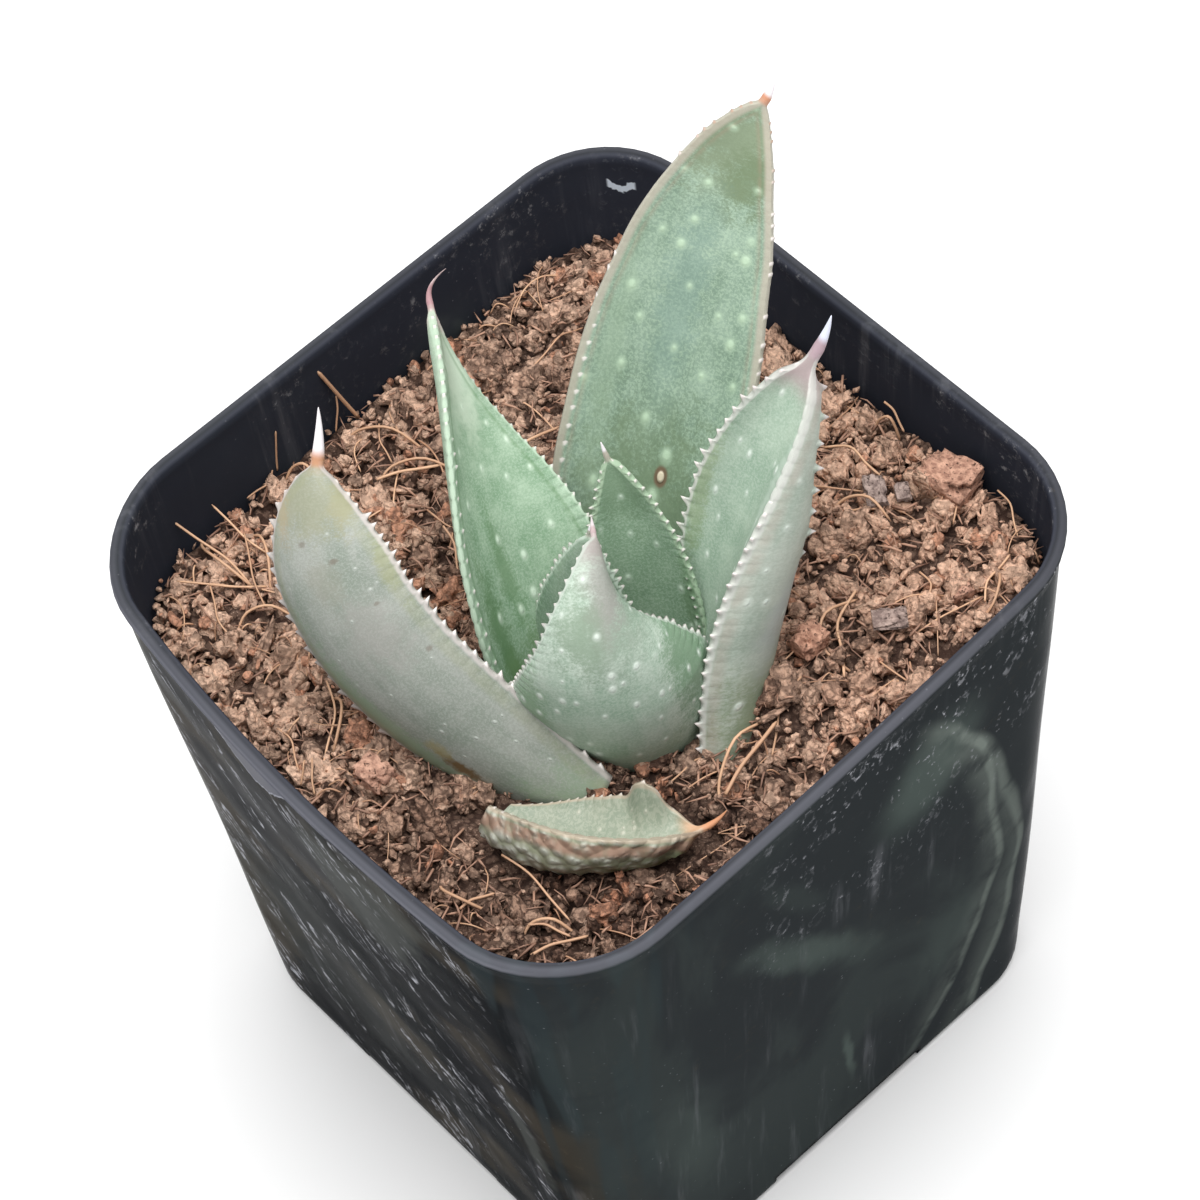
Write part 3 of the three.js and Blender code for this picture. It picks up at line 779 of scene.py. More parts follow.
def build_bed():
    side = int(2 * BED_HALF / BED_STEP)
    line = np.linspace(-BED_HALF, BED_HALF, side)
    grid_x, grid_y = np.meshgrid(line, line)
    points = []
    for x, y, z in zip(grid_x.ravel(), grid_y.ravel(), bed_height(grid_x, grid_y).ravel()):
        lump = noise.fractal(Vector((x * 0.42, y * 0.42, 3.0)), 1.0, 2.0, 4) * 1.1
        points.append((x, y, z - BED_DEPTH + lump))
    inside = room_in_pot(grid_x, grid_y).ravel() > 0.05
    corners = [j * side + i for j in range(side - 1) for i in range(side - 1)]
    quads = [(a, a + 1, a + side + 1, a + side) for a in corners]
    quads = [quad for quad in quads if all(inside[k] for k in quad)]
    used = sorted({k for quad in quads for k in quad})
    index = {k: n for n, k in enumerate(used)}
    faces = [tuple(index[k] for k in quad) for quad in quads]
    make_heap("soil_bed", [([points[k] for k in used], faces)], SOIL_FINISH, tone=[0.0], red=[0.0])


build_bed()

# %% [markdown]
# ## Crumbs
# A crumb is a small ball pulled out of round by noise. Twenty small and twenty larger shapes are made
# once and serve as moulds, and every fourth is a long flat flake of husk. The copies are turned and
# scaled, so that small crumbs are common and big lumps rare.


# %% Crumb moulds
def ball(divisions):
    t = (1 + 5**0.5) / 2
    points = [Vector(p).normalized() for p in (
        (-1, t, 0), (1, t, 0), (-1, -t, 0), (1, -t, 0), (0, -1, t), (0, 1, t),
        (0, -1, -t), (0, 1, -t), (t, 0, -1), (t, 0, 1), (-t, 0, -1), (-t, 0, 1),
    )]
    faces = [
        (0, 11, 5), (0, 5, 1), (0, 1, 7), (0, 7, 10), (0, 10, 11), (1, 5, 9), (5, 11, 4),
        (11, 10, 2), (10, 7, 6), (7, 1, 8), (3, 9, 4), (3, 4, 2), (3, 2, 6), (3, 6, 8),
        (3, 8, 9), (4, 9, 5), (2, 4, 11), (6, 2, 10), (8, 6, 7), (9, 8, 1),
    ]
    for _ in range(divisions):
        middles, finer = {}, []

        def middle(a, b):
            key = (min(a, b), max(a, b))
            if key not in middles:
                points.append(((points[a] + points[b]) / 2).normalized())
                middles[key] = len(points) - 1
            return middles[key]

        for a, b, c in faces:
            ab, bc, ca = middle(a, b), middle(b, c), middle(c, a)
            finer += [(a, ab, ca), (b, bc, ab), (c, ca, bc), (ab, bc, ca)]
        faces = finer
    return points, faces


def crumb_mould(seed, divisions=1, ragged=1.0):
    points, faces = ball(divisions)
    rough = []
    for p in points:
        q = p * 1.3 + Vector((seed * 7.3, seed * 3.1, seed * 1.7))
        swell = 1 + ragged * (0.5 * noise.noise(q) + 0.45 * noise.noise(q * 2.6))
        if divisions > 1:
            swell += 0.22 * noise.noise(q * 5.5)
        rough.append(tuple(p * swell))
    flake = (1.7, 0.8, 0.42) if seed % 4 == 3 else (1, 1, 1)
    return np.array(rough) * flake, faces


SMALL_MOULDS = [crumb_mould(seed) for seed in range(20)]
LARGE_MOULDS = [crumb_mould(seed, 2, 1.35) for seed in range(20)]
print("points on a small and a large mould:", len(SMALL_MOULDS[0][0]), len(LARGE_MOULDS[0][0]))

# %% [markdown]
# Where a crumb lies decides its tone: painted light makes the soil paler at the sides of the picture, most of
# all at the right, where it is also a little redder, and painted shade makes it darker at the front. Crumbs,
# fibres and splinters keep off the withered leaf, which lies on top of them, and off the strip that it hides
# behind it.

# %% Where crumbs lie
WITHERED_ROOT, WITHERED_TIP = (15.4, -23.6), (27.2, -14.2)


def near_withered_leaf(x, y, reach=0.3):
    (ax, ay), (bx, by) = WITHERED_ROOT, WITHERED_TIP
    t = np.clip(((x - ax) * (bx - ax) + (y - ay) * (by - ay)) / ((bx - ax) ** 2 + (by - ay) ** 2), 0, 1)
    dx, dy = x - ax - t * (bx - ax), y - ay - t * (by - ay)
    behind = np.clip(in_picture(dx, dy)[1], 0, 1.2)
    return np.hypot(dx, dy) < 3.1 - 1.2 * t + reach + behind


# Painted light and shade on the soil's tone: paler at the sides of the picture, most at the right, darker at
# the front
def painted_light_tone(sideways, backwards):
    return 0.05 + 0.0035 * sideways + 0.017 * abs(sideways) + 0.0068 * backwards - 0.0062 * abs(backwards)


def random_turn(rng):
    q = rng.normal(size=4)
    w, x, y, z = q / np.linalg.norm(q)
    return np.array([
        [1 - 2 * (y * y + z * z), 2 * (x * y - z * w), 2 * (x * z + y * w)],
        [2 * (x * y + z * w), 1 - 2 * (x * x + z * z), 2 * (y * z - x * w)],
        [2 * (x * z - y * w), 2 * (y * z + x * w), 1 - 2 * (x * x + y * y)],
    ])


print("dryness at the right, the left and the front:", painted_light_tone(35, 0), painted_light_tone(-35, 0), painted_light_tone(0, -35))

# %% [markdown]
# Each crumb is drawn from a seeded random series: its place, its size, its mould, its proportions, its
# turn, how deep it is sunk, and its tone. One that would reach into the wall is left out.

# %% Scatter the crumbs
RED_SHARE = 0.07


def scatter_crumbs(name, seed, count, sizes, moulds):
    rng = np.random.default_rng(seed)
    parts, tones, reds = [], [], []
    while len(parts) < count:
        x, y = rng.uniform(-35, 37, 2) - (1.0, 1.5)
        r = sizes[0] + (sizes[1] - sizes[0]) * rng.random() ** 2.2
        mould, triangles = moulds[rng.integers(len(moulds))]
        shape = mould * r * rng.uniform(0.7, 1.25, 3)
        shape = shape @ random_turn(rng).T
        reach = float(np.hypot(shape[:, 0], shape[:, 1]).max())
        if room_in_pot(x, y) < reach * 0.9 or near_withered_leaf(x, y, r):
            continue
        z = float(bed_height(x, y)) + rng.uniform(-0.9, 0.25) - 0.25 * r
        parts.append((shape + (x, y, z), triangles))
        sideways, backwards = in_picture(x, y)
        # A random patch of tone, plus the painted light and shade
        patch_and_light = noise.noise(Vector((x * 0.12, y * 0.12, 9.0))) * 0.4 + painted_light_tone(sideways, backwards)
        tones.append(np.clip(rng.beta(2.0, 2.2) + patch_and_light, 0, 1))
        # Redder towards the right of the picture, with the painted light
        lit_red = 0.12 * float(smooth_step(5, 25, sideways))
        reds.append(0.75 if rng.random() < RED_SHARE else rng.random() * 0.15 + lit_red)
    make_heap(name, parts, SOIL_FINISH, tone=tones, red=reds)


scatter_crumbs("soil_lumps", 11, 600, (0.75, 1.7), LARGE_MOULDS)
scatter_crumbs("soil_crumbs", 12, 2450, (0.36, 0.95), SMALL_MOULDS)
scatter_crumbs("soil_dust", 13, 2450, (0.2, 0.5), SMALL_MOULDS)

# %% [markdown]
# ## Stones and chunks
# A few pieces stand out of the bed: a dark flat stone chip and a big clump near the back-right wall,
# a red-brown chunk and a grey one on the right. They are larger crumbs with finer meshes and flat
# broken sides, placed one by one.

# %% Stones and chunks
# x, y, lift, three half sizes, greyness
STONES = [
    (12.6, 24.6, 0.7, (2.1, 1.3, 0.7), 0.9), (14.6, 26.2, 0.4, (1.2, 0.9, 0.5), 0.9),
    (20.9, 7.7, 0.5, (1.9, 1.6, 1.4), 0.0), (24.5, 14.4, 0.5, (2.0, 1.5, 1.1), 0.85),
    (17.2, 29.6, -0.4, (3.3, 2.6, 1.9), 0.1), (26.5, 21.5, 0.2, (1.3, 1.1, 0.9), 0.15),
    (-20, 22, 0.2, (1.8, 1.4, 1.1), 0.1), (-27, 8, 0.2, (1.4, 1.2, 1.0), 0.0),
    (2, -28.5, 0.3, (2.1, 1.7, 1.3), 0.15), (-4.5, -24, 0.3, (1.8, 1.5, 1.2), 0.1),
]


def stone_finish():
    finish = Finish("stone_chips")
    at = finish.place_mm()
    grain = finish.cloud(at, 1.4, 5.0, 0.65)
    spread = finish.step(grain, 0.3, 0.7)
    warm = finish.mix(spread, (150, 108, 90), (222, 172, 146))
    cold = finish.mix(spread, (118, 104, 100), (186, 168, 160))
    pits = finish.blots(at, 2.6, 4.0, 0.3, 0.42, 0.7)
    return finish.surface(
        Base_Color=finish.mix(pits, (78, 56, 46), finish.mix(finish.number("grey"), warm, cold)),
        Roughness=0.9,
        Normal=finish.bump(grain + pits * 0.5, 1.0, 0.5),
        Specular_IOR_Level=0.2,
    )


def build_stones():
    rng = np.random.default_rng(5)
    parts = []
    for n, (x, y, lift, halves, _) in enumerate(STONES):
        mould, triangles = crumb_mould(40 + n, 3, 1.1)
        mould = np.clip(mould, -0.8, 0.8)
        turn = rng.uniform(0, math.pi)
        c, s = math.cos(turn), math.sin(turn)
        spin = np.array([[c, -s, 0], [s, c, 0], [0, 0, 1]])
        parts.append(((mould * halves) @ spin.T + (x, y, float(bed_height(x, y)) + lift), triangles))
    make_heap("stones_and_chunks", parts, stone_finish(), grey=[stone[-1] for stone in STONES])


build_stones()

# %% [markdown]
# ## Coir fibres
# Tan husk fibres stick out of the soil in arcs and curls. Each is a thin tube along a smooth curve
# through a few points, and its end is drawn thin.


# %% Fibre tubes
def fibre_finish(name, dark, light, middle):
    finish = Finish(name)
    tan = finish.mix(finish.number("tone"), dark, light)
    shade = finish.blots(finish.place_mm(), 0.9, 3.0, 0.3, 0.7)
    return finish.surface(Base_Color=finish.mix(shade * 0.6, tan, middle), Roughness=0.6)


def curve_points(corners, steps):
    points = []
    for k in range(len(corners) - 1):
        p0 = corners[max(0, k - 1)]
        p1, p2 = corners[k], corners[k + 1]
        p3 = corners[min(len(corners) - 1, k + 2)]
        for s in range(steps):
            t = s / steps
            bend = (2 * p0 - 5 * p1 + 4 * p2 - p3) * t**2 + (3 * p1 - p0 - 3 * p2 + p3) * t**3
            points.append(0.5 * (2 * p1 + (p2 - p0) * t + bend))
    return points + [corners[-1]]


def tube(corners, radius, steps=4, sides=5):
    line = curve_points([Vector(c) for c in corners], steps)
    points = []
    side = Vector((0.3, 0.5, 0.8))
    for k, p in enumerate(line):
        along = (line[min(k + 1, len(line) - 1)] - line[max(k - 1, 0)]).normalized()
        side = (side - along * side.dot(along)).normalized()
        other = along.cross(side)
        thin = radius * (0.35 if k == len(line) - 1 else 1.0)
        for n in range(sides):
            a = 2 * math.pi * n / sides
            points.append(tuple(p + side * math.cos(a) * thin + other * math.sin(a) * thin))
    return points, skin_faces(len(line), sides)


print("points on a plain fibre:", len(tube([(0, 0, 0), (1, 0, 1), (2, 0, 0)], 0.1)[0]))

# %% [markdown]
# The long fibres stand where the photograph shows them and where their solids are, and the thin loose
# ones follow the photograph too. A few hundred short ones are scattered by rule.

# %% Coir fibres
# Start x and y, end x and y, arch height, sideways bend
LONG_FIBRES = [
    (-31, -5, -24, 0, 2.4, 0.1), (-31.5, -12, -28, -10, 3, 0.2), (-32, -22, -23, -22, 2.2, -0.1),
    (-29, -18.5, -22, -21.5, 2.4, 0.12), (-24.5, -6, -19.5, 0.5, 1.6, 0.15), (-19, 1, -16.5, 11.5, 2, -0.1),
    (26.5, -9, 23.5, -1, 2.6, 0.1), (24.6, 9.1, 19.8, 15.2, 2, 0.35), (10.6, 20.5, 15.7, 23.5, 1.8, 0.2),
    (6.4, 30.5, 9.1, 31.5, 3, 0.1), (29.6, 20.9, 26.8, 26, 2, -0.15), (-8.3, -25.8, -3.1, -29.4, 2.2, 0.2),
    (23.4, -30, 26.8, -26.6, 1.5, 0.15), (14, -31.2, 19.2, -30.4, 1.6, -0.2),
    (-21, -26.5, -17.5, -21.5, 1.6, 0.2), (-10, 26, -3, 29, 1.8, -0.2),
]
# Start x, y and height over the soil, end x, y and height, sideways bend, thickness
LOOSE_FIBRES = [
    (-32.2, -1.9, 0, -33.7, -4.3, 8.0, 0.02, 0.2), (-33.2, -3.2, 3.6, -32.4, -4.6, 0, 0.1, 0.1),
    (-24.7, -18.7, 0.3, -32.6, -19.6, 2.6, 0.06, 0.12), (-23.9, -22.3, 0.2, -33.2, -23.8, 3.6, -0.07, 0.14),
    (-22.6, -21.4, 0.3, -28.9, -27.2, 1.2, 0.04, 0.12), (-20.4, -20.9, 0.3, -26.5, -25.2, 1.0, -0.06, 0.1),
    (-20.8, -23.0, 0.2, -27.6, -19.6, 2.6, 0.05, 0.1), (-20.0, -27.4, 0.0, -26.4, -25.2, 0.9, 0.1, 0.1),
    (-33.0, -11.6, 0, -33.2, -10.6, 5.0, 0.05, 0.1), (-33.2, -12.0, 0.4, -32.4, -15.9, 0.2, 0.2, 0.09),
    (-24.4, -6.0, 0.6, -21.0, -0.8, 0.8, 0.04, 0.16), (-15.1, -5.5, 1.2, -10.4, -7.9, -0.2, 0.1, 0.12),
    (-29.1, -1.6, 1.2, -25.3, -3.4, 0.0, -0.1, 0.09), (4.9, 25.5, 0.6, 11.3, 26.5, 0.4, 0.16, 0.13),
    (8.8, 21.7, 0.2, 14.0, 23.4, 0.2, -0.22, 0.13), (19.4, 15.1, 0.4, 25.1, 7.9, 0.3, -0.14, 0.15),
    (23.0, 4.6, 0.5, 26.4, -2.5, 0.3, -0.12, 0.11), (16.8, -26.3, 1.4, 25.6, -26.3, 0.2, 0.05, 0.12),
    (23.4, -29.2, 0.5, 26.9, -27.4, 0.4, 0.1, 0.13), (25.9, -31.1, 0.6, 28.0, -26.3, 0.4, 0.06, 0.14),
    (17.7, -32.2, 0.3, 18.9, -29.1, 0.6, 0.1, 0.13), (26.5, -8.3, 1.0, 25.3, -0.7, 1.4, 0.04, 0.2),
    (-9.2, -24.9, 0.8, -1.8, -31.8, 0.0, 0.1, 0.12), (-8.7, -31.3, 0.6, -3.7, -32.9, 0.2, 0.12, 0.1),
    (-0.9, -33.4, 0.0, -3.0, -31.6, 1.6, 0.05, 0.1), (22.5, 20.3, 0.5, 25.9, 17.4, 0.2, 0.2, 0.1),
    (28.9, 22.2, 0.4, 27.1, 27.4, 0.8, 0.12, 0.12), (21.0, 32.2, 0.8, 25.8, 29.8, 0.2, 0.1, 0.1),
    (6.1, 32.4, 2.2, 8.9, 32.2, 0.0, 0.1, 0.12), (-5.5, 27.5, 0.4, 0.5, 30.5, 0.8, -0.1, 0.1),
]
SHORT_FIBRES, SHORT_LIFTS = 260, (-0.5, 0.3, 0.35, -0.2)


def long_fibre(x0, y0, x1, y1, arch, bend):
    z0, z1 = float(bed_height(x0, y0)), float(bed_height(x1, y1))
    sx, sy = (y0 - y1) * bend, (x1 - x0) * bend
    return tube([
        (x0, y0, z0 - 0.6),
        (x0 + (x1 - x0) * 0.2 + sx, y0 + (y1 - y0) * 0.2 + sy, z0 + arch * 0.45),
        (x0 + (x1 - x0) * 0.6 + sx, y0 + (y1 - y0) * 0.6 + sy, z0 + (z1 - z0) * 0.6 + arch * 0.7),
        (x1, y1, z1 - 0.6),
    ], 0.15)


def loose_fibre(x0, y0, rise0, x1, y1, rise1, bend, radius):
    low = Vector((x0, y0, float(bed_height(x0, y0)) + rise0))
    high = Vector((x1, y1, float(bed_height(x1, y1)) + rise1))
    side = Vector((y0 - y1, x1 - x0, abs(x1 - x0) * 0.5)) * bend
    return tube([low, low.lerp(high, 0.35) + side, low.lerp(high, 0.7) + side * 0.4, high], radius)


def short_fibre_corners(rng, x, y):
    heading = rng.uniform(0, 2 * math.pi)
    reach = rng.choice((1.5, 2.2, 3, 4.5, 6)) * rng.uniform(0.7, 1.3)
    curl = rng.uniform(-0.7, 0.7)
    corners = []
    for k, lift in enumerate(SHORT_LIFTS):
        angle = heading + curl * k / 3
        x2, y2 = x + math.cos(angle) * reach * k / 3, y + math.sin(angle) * reach * k / 3
        if room_in_pot(x2, y2) < 0.4 or near_withered_leaf(x2, y2):
            x2, y2 = x, y
        lift += rng.uniform(-0.15, 0.3) * (k in (1, 2))
        corners.append((x2, y2, float(bed_height(x2, y2)) + lift))
    return corners


def build_fibres():
    rng = random.Random(21)
    parts, tones = [], []
    for row in LONG_FIBRES:
        parts.append(long_fibre(*row))
        tones.append(rng.uniform(0.4, 0.8))
    for row in LOOSE_FIBRES:
        parts.append(loose_fibre(*row))
        tones.append(rng.uniform(0.35, 0.8))
    known = len(parts)
    while len(parts) < known + SHORT_FIBRES:
        x, y = rng.uniform(-35, 36), rng.uniform(-37, 35)
        if room_in_pot(x, y) < 0.6 or near_withered_leaf(x, y):
            continue
        corners = short_fibre_corners(rng, x, y)
        if (Vector(corners[3]) - Vector(corners[0])).length < 1:
            continue
        parts.append(tube(corners, rng.uniform(0.045, 0.1)))
        tones.append(rng.uniform(0, 0.85))
    tan = fibre_finish("coir_fibre", (160, 118, 92), (232, 190, 154), (194, 150, 118))
    make_heap("coir_fibres", parts, tan, tone=tones)


build_fibres()

# %% [markdown]
# Between the crumbs lie thousands of short splinters of husk. They are the same tubes, with one kink
# and only four sides, because they are too small for more to show.

# %% Husk splinters
SPLINTERS = 2200


def build_splinters():
    rng = random.Random(22)
    parts, tones = [], []
    while len(parts) < SPLINTERS:
        x, y = rng.uniform(-35, 36), rng.uniform(-37, 35)
        heading, reach, tilt = rng.uniform(0, 2 * math.pi), rng.uniform(0.4, 1.3), rng.uniform(-0.35, 0.35)
        if room_in_pot(x, y) < 0.8 or near_withered_leaf(x, y, reach):
            continue
        middle = Vector((x, y, float(bed_height(x, y)) + rng.uniform(-0.5, 0.5)))
        way = Vector((math.cos(heading), math.sin(heading), tilt)) * reach
        kink = Vector((rng.uniform(-0.2, 0.2), rng.uniform(-0.2, 0.2), rng.uniform(0, 0.25)))
        parts.append(tube([middle - way, middle + kink, middle + way], rng.uniform(0.05, 0.15), 1, 4))
        tones.append(rng.uniform(0, 0.75))
    brown = fibre_finish("husk_splinter", (112, 82, 68), (206, 162, 136), (158, 120, 100))
    make_heap("husk_splinters", parts, brown, tone=tones)


build_splinters()

# %% [markdown]
# ## The leaves
# A leaf is a blade swept along a gentle curve. Its upper side is hollow, its back is round or keeled,
# and both margins carry teeth. The same few numbers as in the solids shape each leaf here: three
# points of its curve, where its upper side faces, its width and how far it is rolled.


# %% Leaf curve
def leaf_half_width(leaf, u):
    rise = min(1, u / leaf["widest"])
    fall = max(0, (u - leaf["widest"]) / (1 - leaf["widest"]))
    shape = leaf["neck"] + (1 - leaf["neck"]) * math.sin(math.pi / 2 * rise) - fall ** leaf["taper"]
    return max(leaf["girth"] * 0.9, leaf["width"] / 2 * shape)


def leaf_frame(leaf, u):
    p0, p1, p2 = (Vector(leaf[k]) for k in ("root", "belly", "tip"))
    at = p0 * (1 - u) ** 2 + p1 * 2 * u * (1 - u) + p2 * u**2
    along = ((p1 - p0) * 2 * (1 - u) + (p2 - p1) * 2 * u).normalized()
    turn = math.radians(leaf["face"][0] + (leaf["face"][1] - leaf["face"][0]) * u)
    root_lift, tip_lift = leaf.get("lift", (0, 0))
    lift = math.radians(root_lift + (tip_lift - root_lift) * u)
    up = Vector((math.cos(turn) * math.cos(lift), math.sin(turn) * math.cos(lift), math.sin(lift)))
    up = (up - along * up.dot(along)).normalized()
    return at, along, up, up.cross(along)


def leaf_length(leaf, pieces=40):
    line = [leaf_frame(leaf, k / pieces)[0] for k in range(pieces + 1)]
    return sum((b - a).length for a, b in zip(line, line[1:]))


STRAIGHT_LEAF = dict(root=(0, 0, 0), belly=(0, 0, 15), tip=(0, 0, 30), face=(0, 0))
print("length of a straight trial leaf:", round(leaf_length(STRAIGHT_LEAF), 2))

# %% [markdown]
# ## Teeth
# A tooth is a short rise and fall over seven rings of the blade, so that it has a sharp point, and each
# one has a height of its own. On most margins the teeth point outwards and lean towards the tip. On
# the lower part of the tall, the left and the centre leaf they stand on the upper face instead and
# show as rows of white dots, and the right leaf also has teeth on its keel.

# %% Tooth rings
HALF_SECTION = (1, 0.985, 0.955, 0.92, 0.88, 0.82, 0.74, 0.64, 0.53, 0.41, 0.28, 0.15, 0.06)
SECTION = HALF_SECTION + (0,) + tuple(-v for v in reversed(HALF_SECTION))
TOOTH_SHAPE = ((0.0, 0.0), (0.2, 0.03), (0.36, 0.3), (0.5, 0.72), (0.62, 1.0), (0.72, 0.35), (0.82, 0.03))
FACE_TOOTH_AT = {0.955: 0.25, 0.92: 1.0, 0.88: 0.25}
FIRST_RING, LAST_RING = 0.001, 0.995


def leaf_stations(leaf, seed):
    rng = random.Random(seed)
    count, low, high = leaf["teeth"]
    stations = []
    for k in range(count):
        heights = [rng.uniform(0.5, 1.25) * (rng.random() >= leaf.get("gaps", 0)) for _ in range(3)]
        shift = rng.uniform(-0.08, 0.08)
        for phase, part in TOOTH_SHAPE:
            u = FIRST_RING + 0.994 * (k + phase + shift * (phase > 0)) / count
            size = (low + (high - low) * u) * min(1, 6 * (1 - u))
            stations.append((u, size * heights[0], size * heights[1], heights[2] if k % 2 else 0, part))
    return stations + [(LAST_RING, 0, 0, 0, 0)]


def margin_teeth(leaf, station):
    # For each margin: the tooth's height on this ring, and how much of it stands on the upper face
    u, left_tooth, right_tooth, _, part = station
    margins = {}
    for sign, size in ((1, left_tooth), (-1, right_tooth)):
        start, stop = leaf.get("face_teeth", {}).get(sign, (2, 2.1))
        on_face = float(smooth_step(stop, stop - 0.12, u)) if u > start else 0.0
        bare = leaf.get("bare_edge", {}).get(sign)
        kept = float(smooth_step(bare + 0.05, bare - 0.05, u)) if bare else 1.0
        margins[sign] = (size * part * kept, on_face)
    return margins


print("points round a leaf:", 2 * len(SECTION) + 2)

# %% [markdown]
# ## One ring of a blade
# A ring goes over the upper face from margin to margin, and back under it at the leaf's thickness.
# Every point also carries numbers for the finish: where it lies in millimetres across and along the
# blade, with the back laid out beside the face, whether it is on the back, how far it is from the
# margin, and how far out it is on a tooth. So spots and streaks follow the leaf as it bends.

# %% Sweep a ring
BACK_BESIDE = 60
RIM_DEPTH, EDGE_DEPTH = 0.7, 0.35


def skin_depth(leaf, v, under, rim, full):
    # How far a point lies below the face: next to nothing on it, the leaf's thickness on the back
    if under == 0.5:
        return EDGE_DEPTH
    depth = (RIM_DEPTH - rim) / 2 * abs(v) ** 10
    if under == 1:
        depth = RIM_DEPTH + (leaf["thick"] - RIM_DEPTH) * (1 - abs(v) ** leaf["back"]) * full - depth
    return depth


def leaf_ring(leaf, station, wobble):
    u, _, _, keel_tooth, part = station
    at, along, up, side = leaf_frame(leaf, u)
    half = leaf_half_width(leaf, u) * (1 + 0.025 * wobble(u * 9, 0))
    roll = math.radians(max(1, leaf["cup"][0] + (leaf["cup"][1] - leaf["cup"][0]) * u))
    radius = half / roll
    slim = leaf.get("slim", 1)
    full = min(1, 2 * half / leaf["width"]) ** 0.8 * min(1, slim + 1.7 * (1 - slim) * u)
    rim = leaf.get("rim_thick", 0.45) * (1 - leaf.get("notch", 0.6) * part)
    margins = margin_teeth(leaf, station)
    keel_from, keel_to, keel_size = leaf.get("keel_teeth", (2, 3, 0))
    keel = keel_tooth * keel_size * part
    keel *= float(smooth_step(keel_from, keel_from + 0.06, u) * smooth_step(keel_to, keel_to - 0.05, u))
    keel_shift = leaf.get("keel_drift", 0) * float(smooth_step(0.3, 0.9, u))
    length = leaf["length"]
    ring = []

    def put(v, under):
        on_keel = under == 1 and v == 0
        if under == 1:
            v = v + keel_shift * (1 - abs(v))
        depth = skin_depth(leaf, v, under, rim, full)
        angle = roll * v
        out = side * math.cos(angle) + up * math.sin(angle)
        normal = up * math.cos(angle) - side * math.sin(angle)
        p = at + side * (radius * math.sin(angle)) + up * (radius * (1 - math.cos(angle)))
        sign = 1 if v > 0 else -1
        tooth, on_face = margins[sign]
        edge_share = 1.0 if abs(v) > 0.999 else 0.4 if abs(v) > 0.98 else 0.0
        face_share = 0.0 if under else FACE_TOOTH_AT.get(abs(v), 0.0)
        horn = 0.0
        if edge_share:
            p += out * (sign * tooth * edge_share * (1 - on_face))
            p += along * (0.4 * tooth * edge_share * (1 - on_face))
            horn = edge_share * (1 - on_face) * part * (tooth > 0)
        if face_share and on_face:
            p += normal * (tooth * 0.9 * face_share * on_face)
            horn = face_share * on_face * part
        if on_keel and keel:
            outward = (normal - out * keel_shift * 0.8).normalized()
            p -= outward * keel - along * (0.35 * keel)
            horn = part
        ripple = leaf.get("ripple", 0.1) * wobble(u * length * 0.16 + 5, v * half * 0.3 + (3 if under else 0))
        if leaf.get("pucker") and under:
            ripple += leaf["pucker"] * abs(wobble(u * length * 0.35, v * half * 1.5 + 9)) * (1 - v * v)
        p += normal * (ripple * min(1, (1 - abs(v)) * 8) - depth)
        if leaf.get("hump") and v > 0:
            p += UP * (leaf["hump"] * math.exp(-(((u - 0.8) / 0.07) ** 4)) * v**2)
        place_mm = (v * half + BACK_BESIDE * under, u * length, 0)
        ring.append((p, place_mm, under, half * (1 - abs(v)), min(1.0, horn)))

    for v in SECTION:
        put(v, 0.0)
    put(-1, 0.5)
    for v in reversed(SECTION):
        put(v, 1.0)
    put(1, 0.5)
    return ring


trial = dict(STRAIGHT_LEAF, widest=0.3, neck=0.6, taper=2, girth=0.3, width=12, cup=(40, 20), thick=2, back=2)
trial_ring = leaf_ring(dict(trial, length=30), (0.5, 0, 0, 0, 0), lambda a, b: 0)
print("half a trial leaf's width at its middle:", round(max(entry[3] for entry in trial_ring), 2))

# %% [markdown]
# ## The spine and the closed skin
# The blade ends in a spine. Towards the tip its section is rounded off, and the last ring is drawn on
# into a slender cone with the same number of points, so that skin runs into spine without a seam.

# %% Build a leaf
SPINE_RINGS, SPINE_SUNK, SPINE_POINT = 12, 0.3, 0.03


def round_off(leaf, u, ring):
    share = float(smooth_step(leaf.get("round_from", 0.955), 0.993, u))
    if not share:
        return ring
    at, _, up, side = leaf_frame(leaf, u)
    rounded = []
    for n, (p, *numbers) in enumerate(ring):
        a = 2 * math.pi * (n + 0.5) / len(ring)
        circle = at - up * SPINE_SUNK + (side * math.cos(a) + up * math.sin(a)) * leaf["girth"]
        rounded.append((p.lerp(circle, share), *numbers))
    return rounded


def spine_rings(leaf, count):
    at, along, up, side = leaf_frame(leaf, 0.998)
    rise = (along + UP * leaf.get("spine_rise", 0.7)).normalized()
    bend = Vector(leaf.get("hook", (0, 0, 0)))
    start = at - up * SPINE_SUNK
    for k in range(1, SPINE_RINGS + 1):
        t = k / SPINE_RINGS
        middle = start + along * leaf["spine"] * t * (1 - t) * 0.6
        middle += rise * leaf["spine"] * t * (0.4 + 0.6 * t)
        middle += bend * t**3
        girth = leaf["girth"] * (1 - t) ** 0.8 + SPINE_POINT
        for n in range(count):
            a = 2 * math.pi * (n + 0.5) / count
            yield middle + side * math.cos(a) * girth + up * math.sin(a) * girth, t


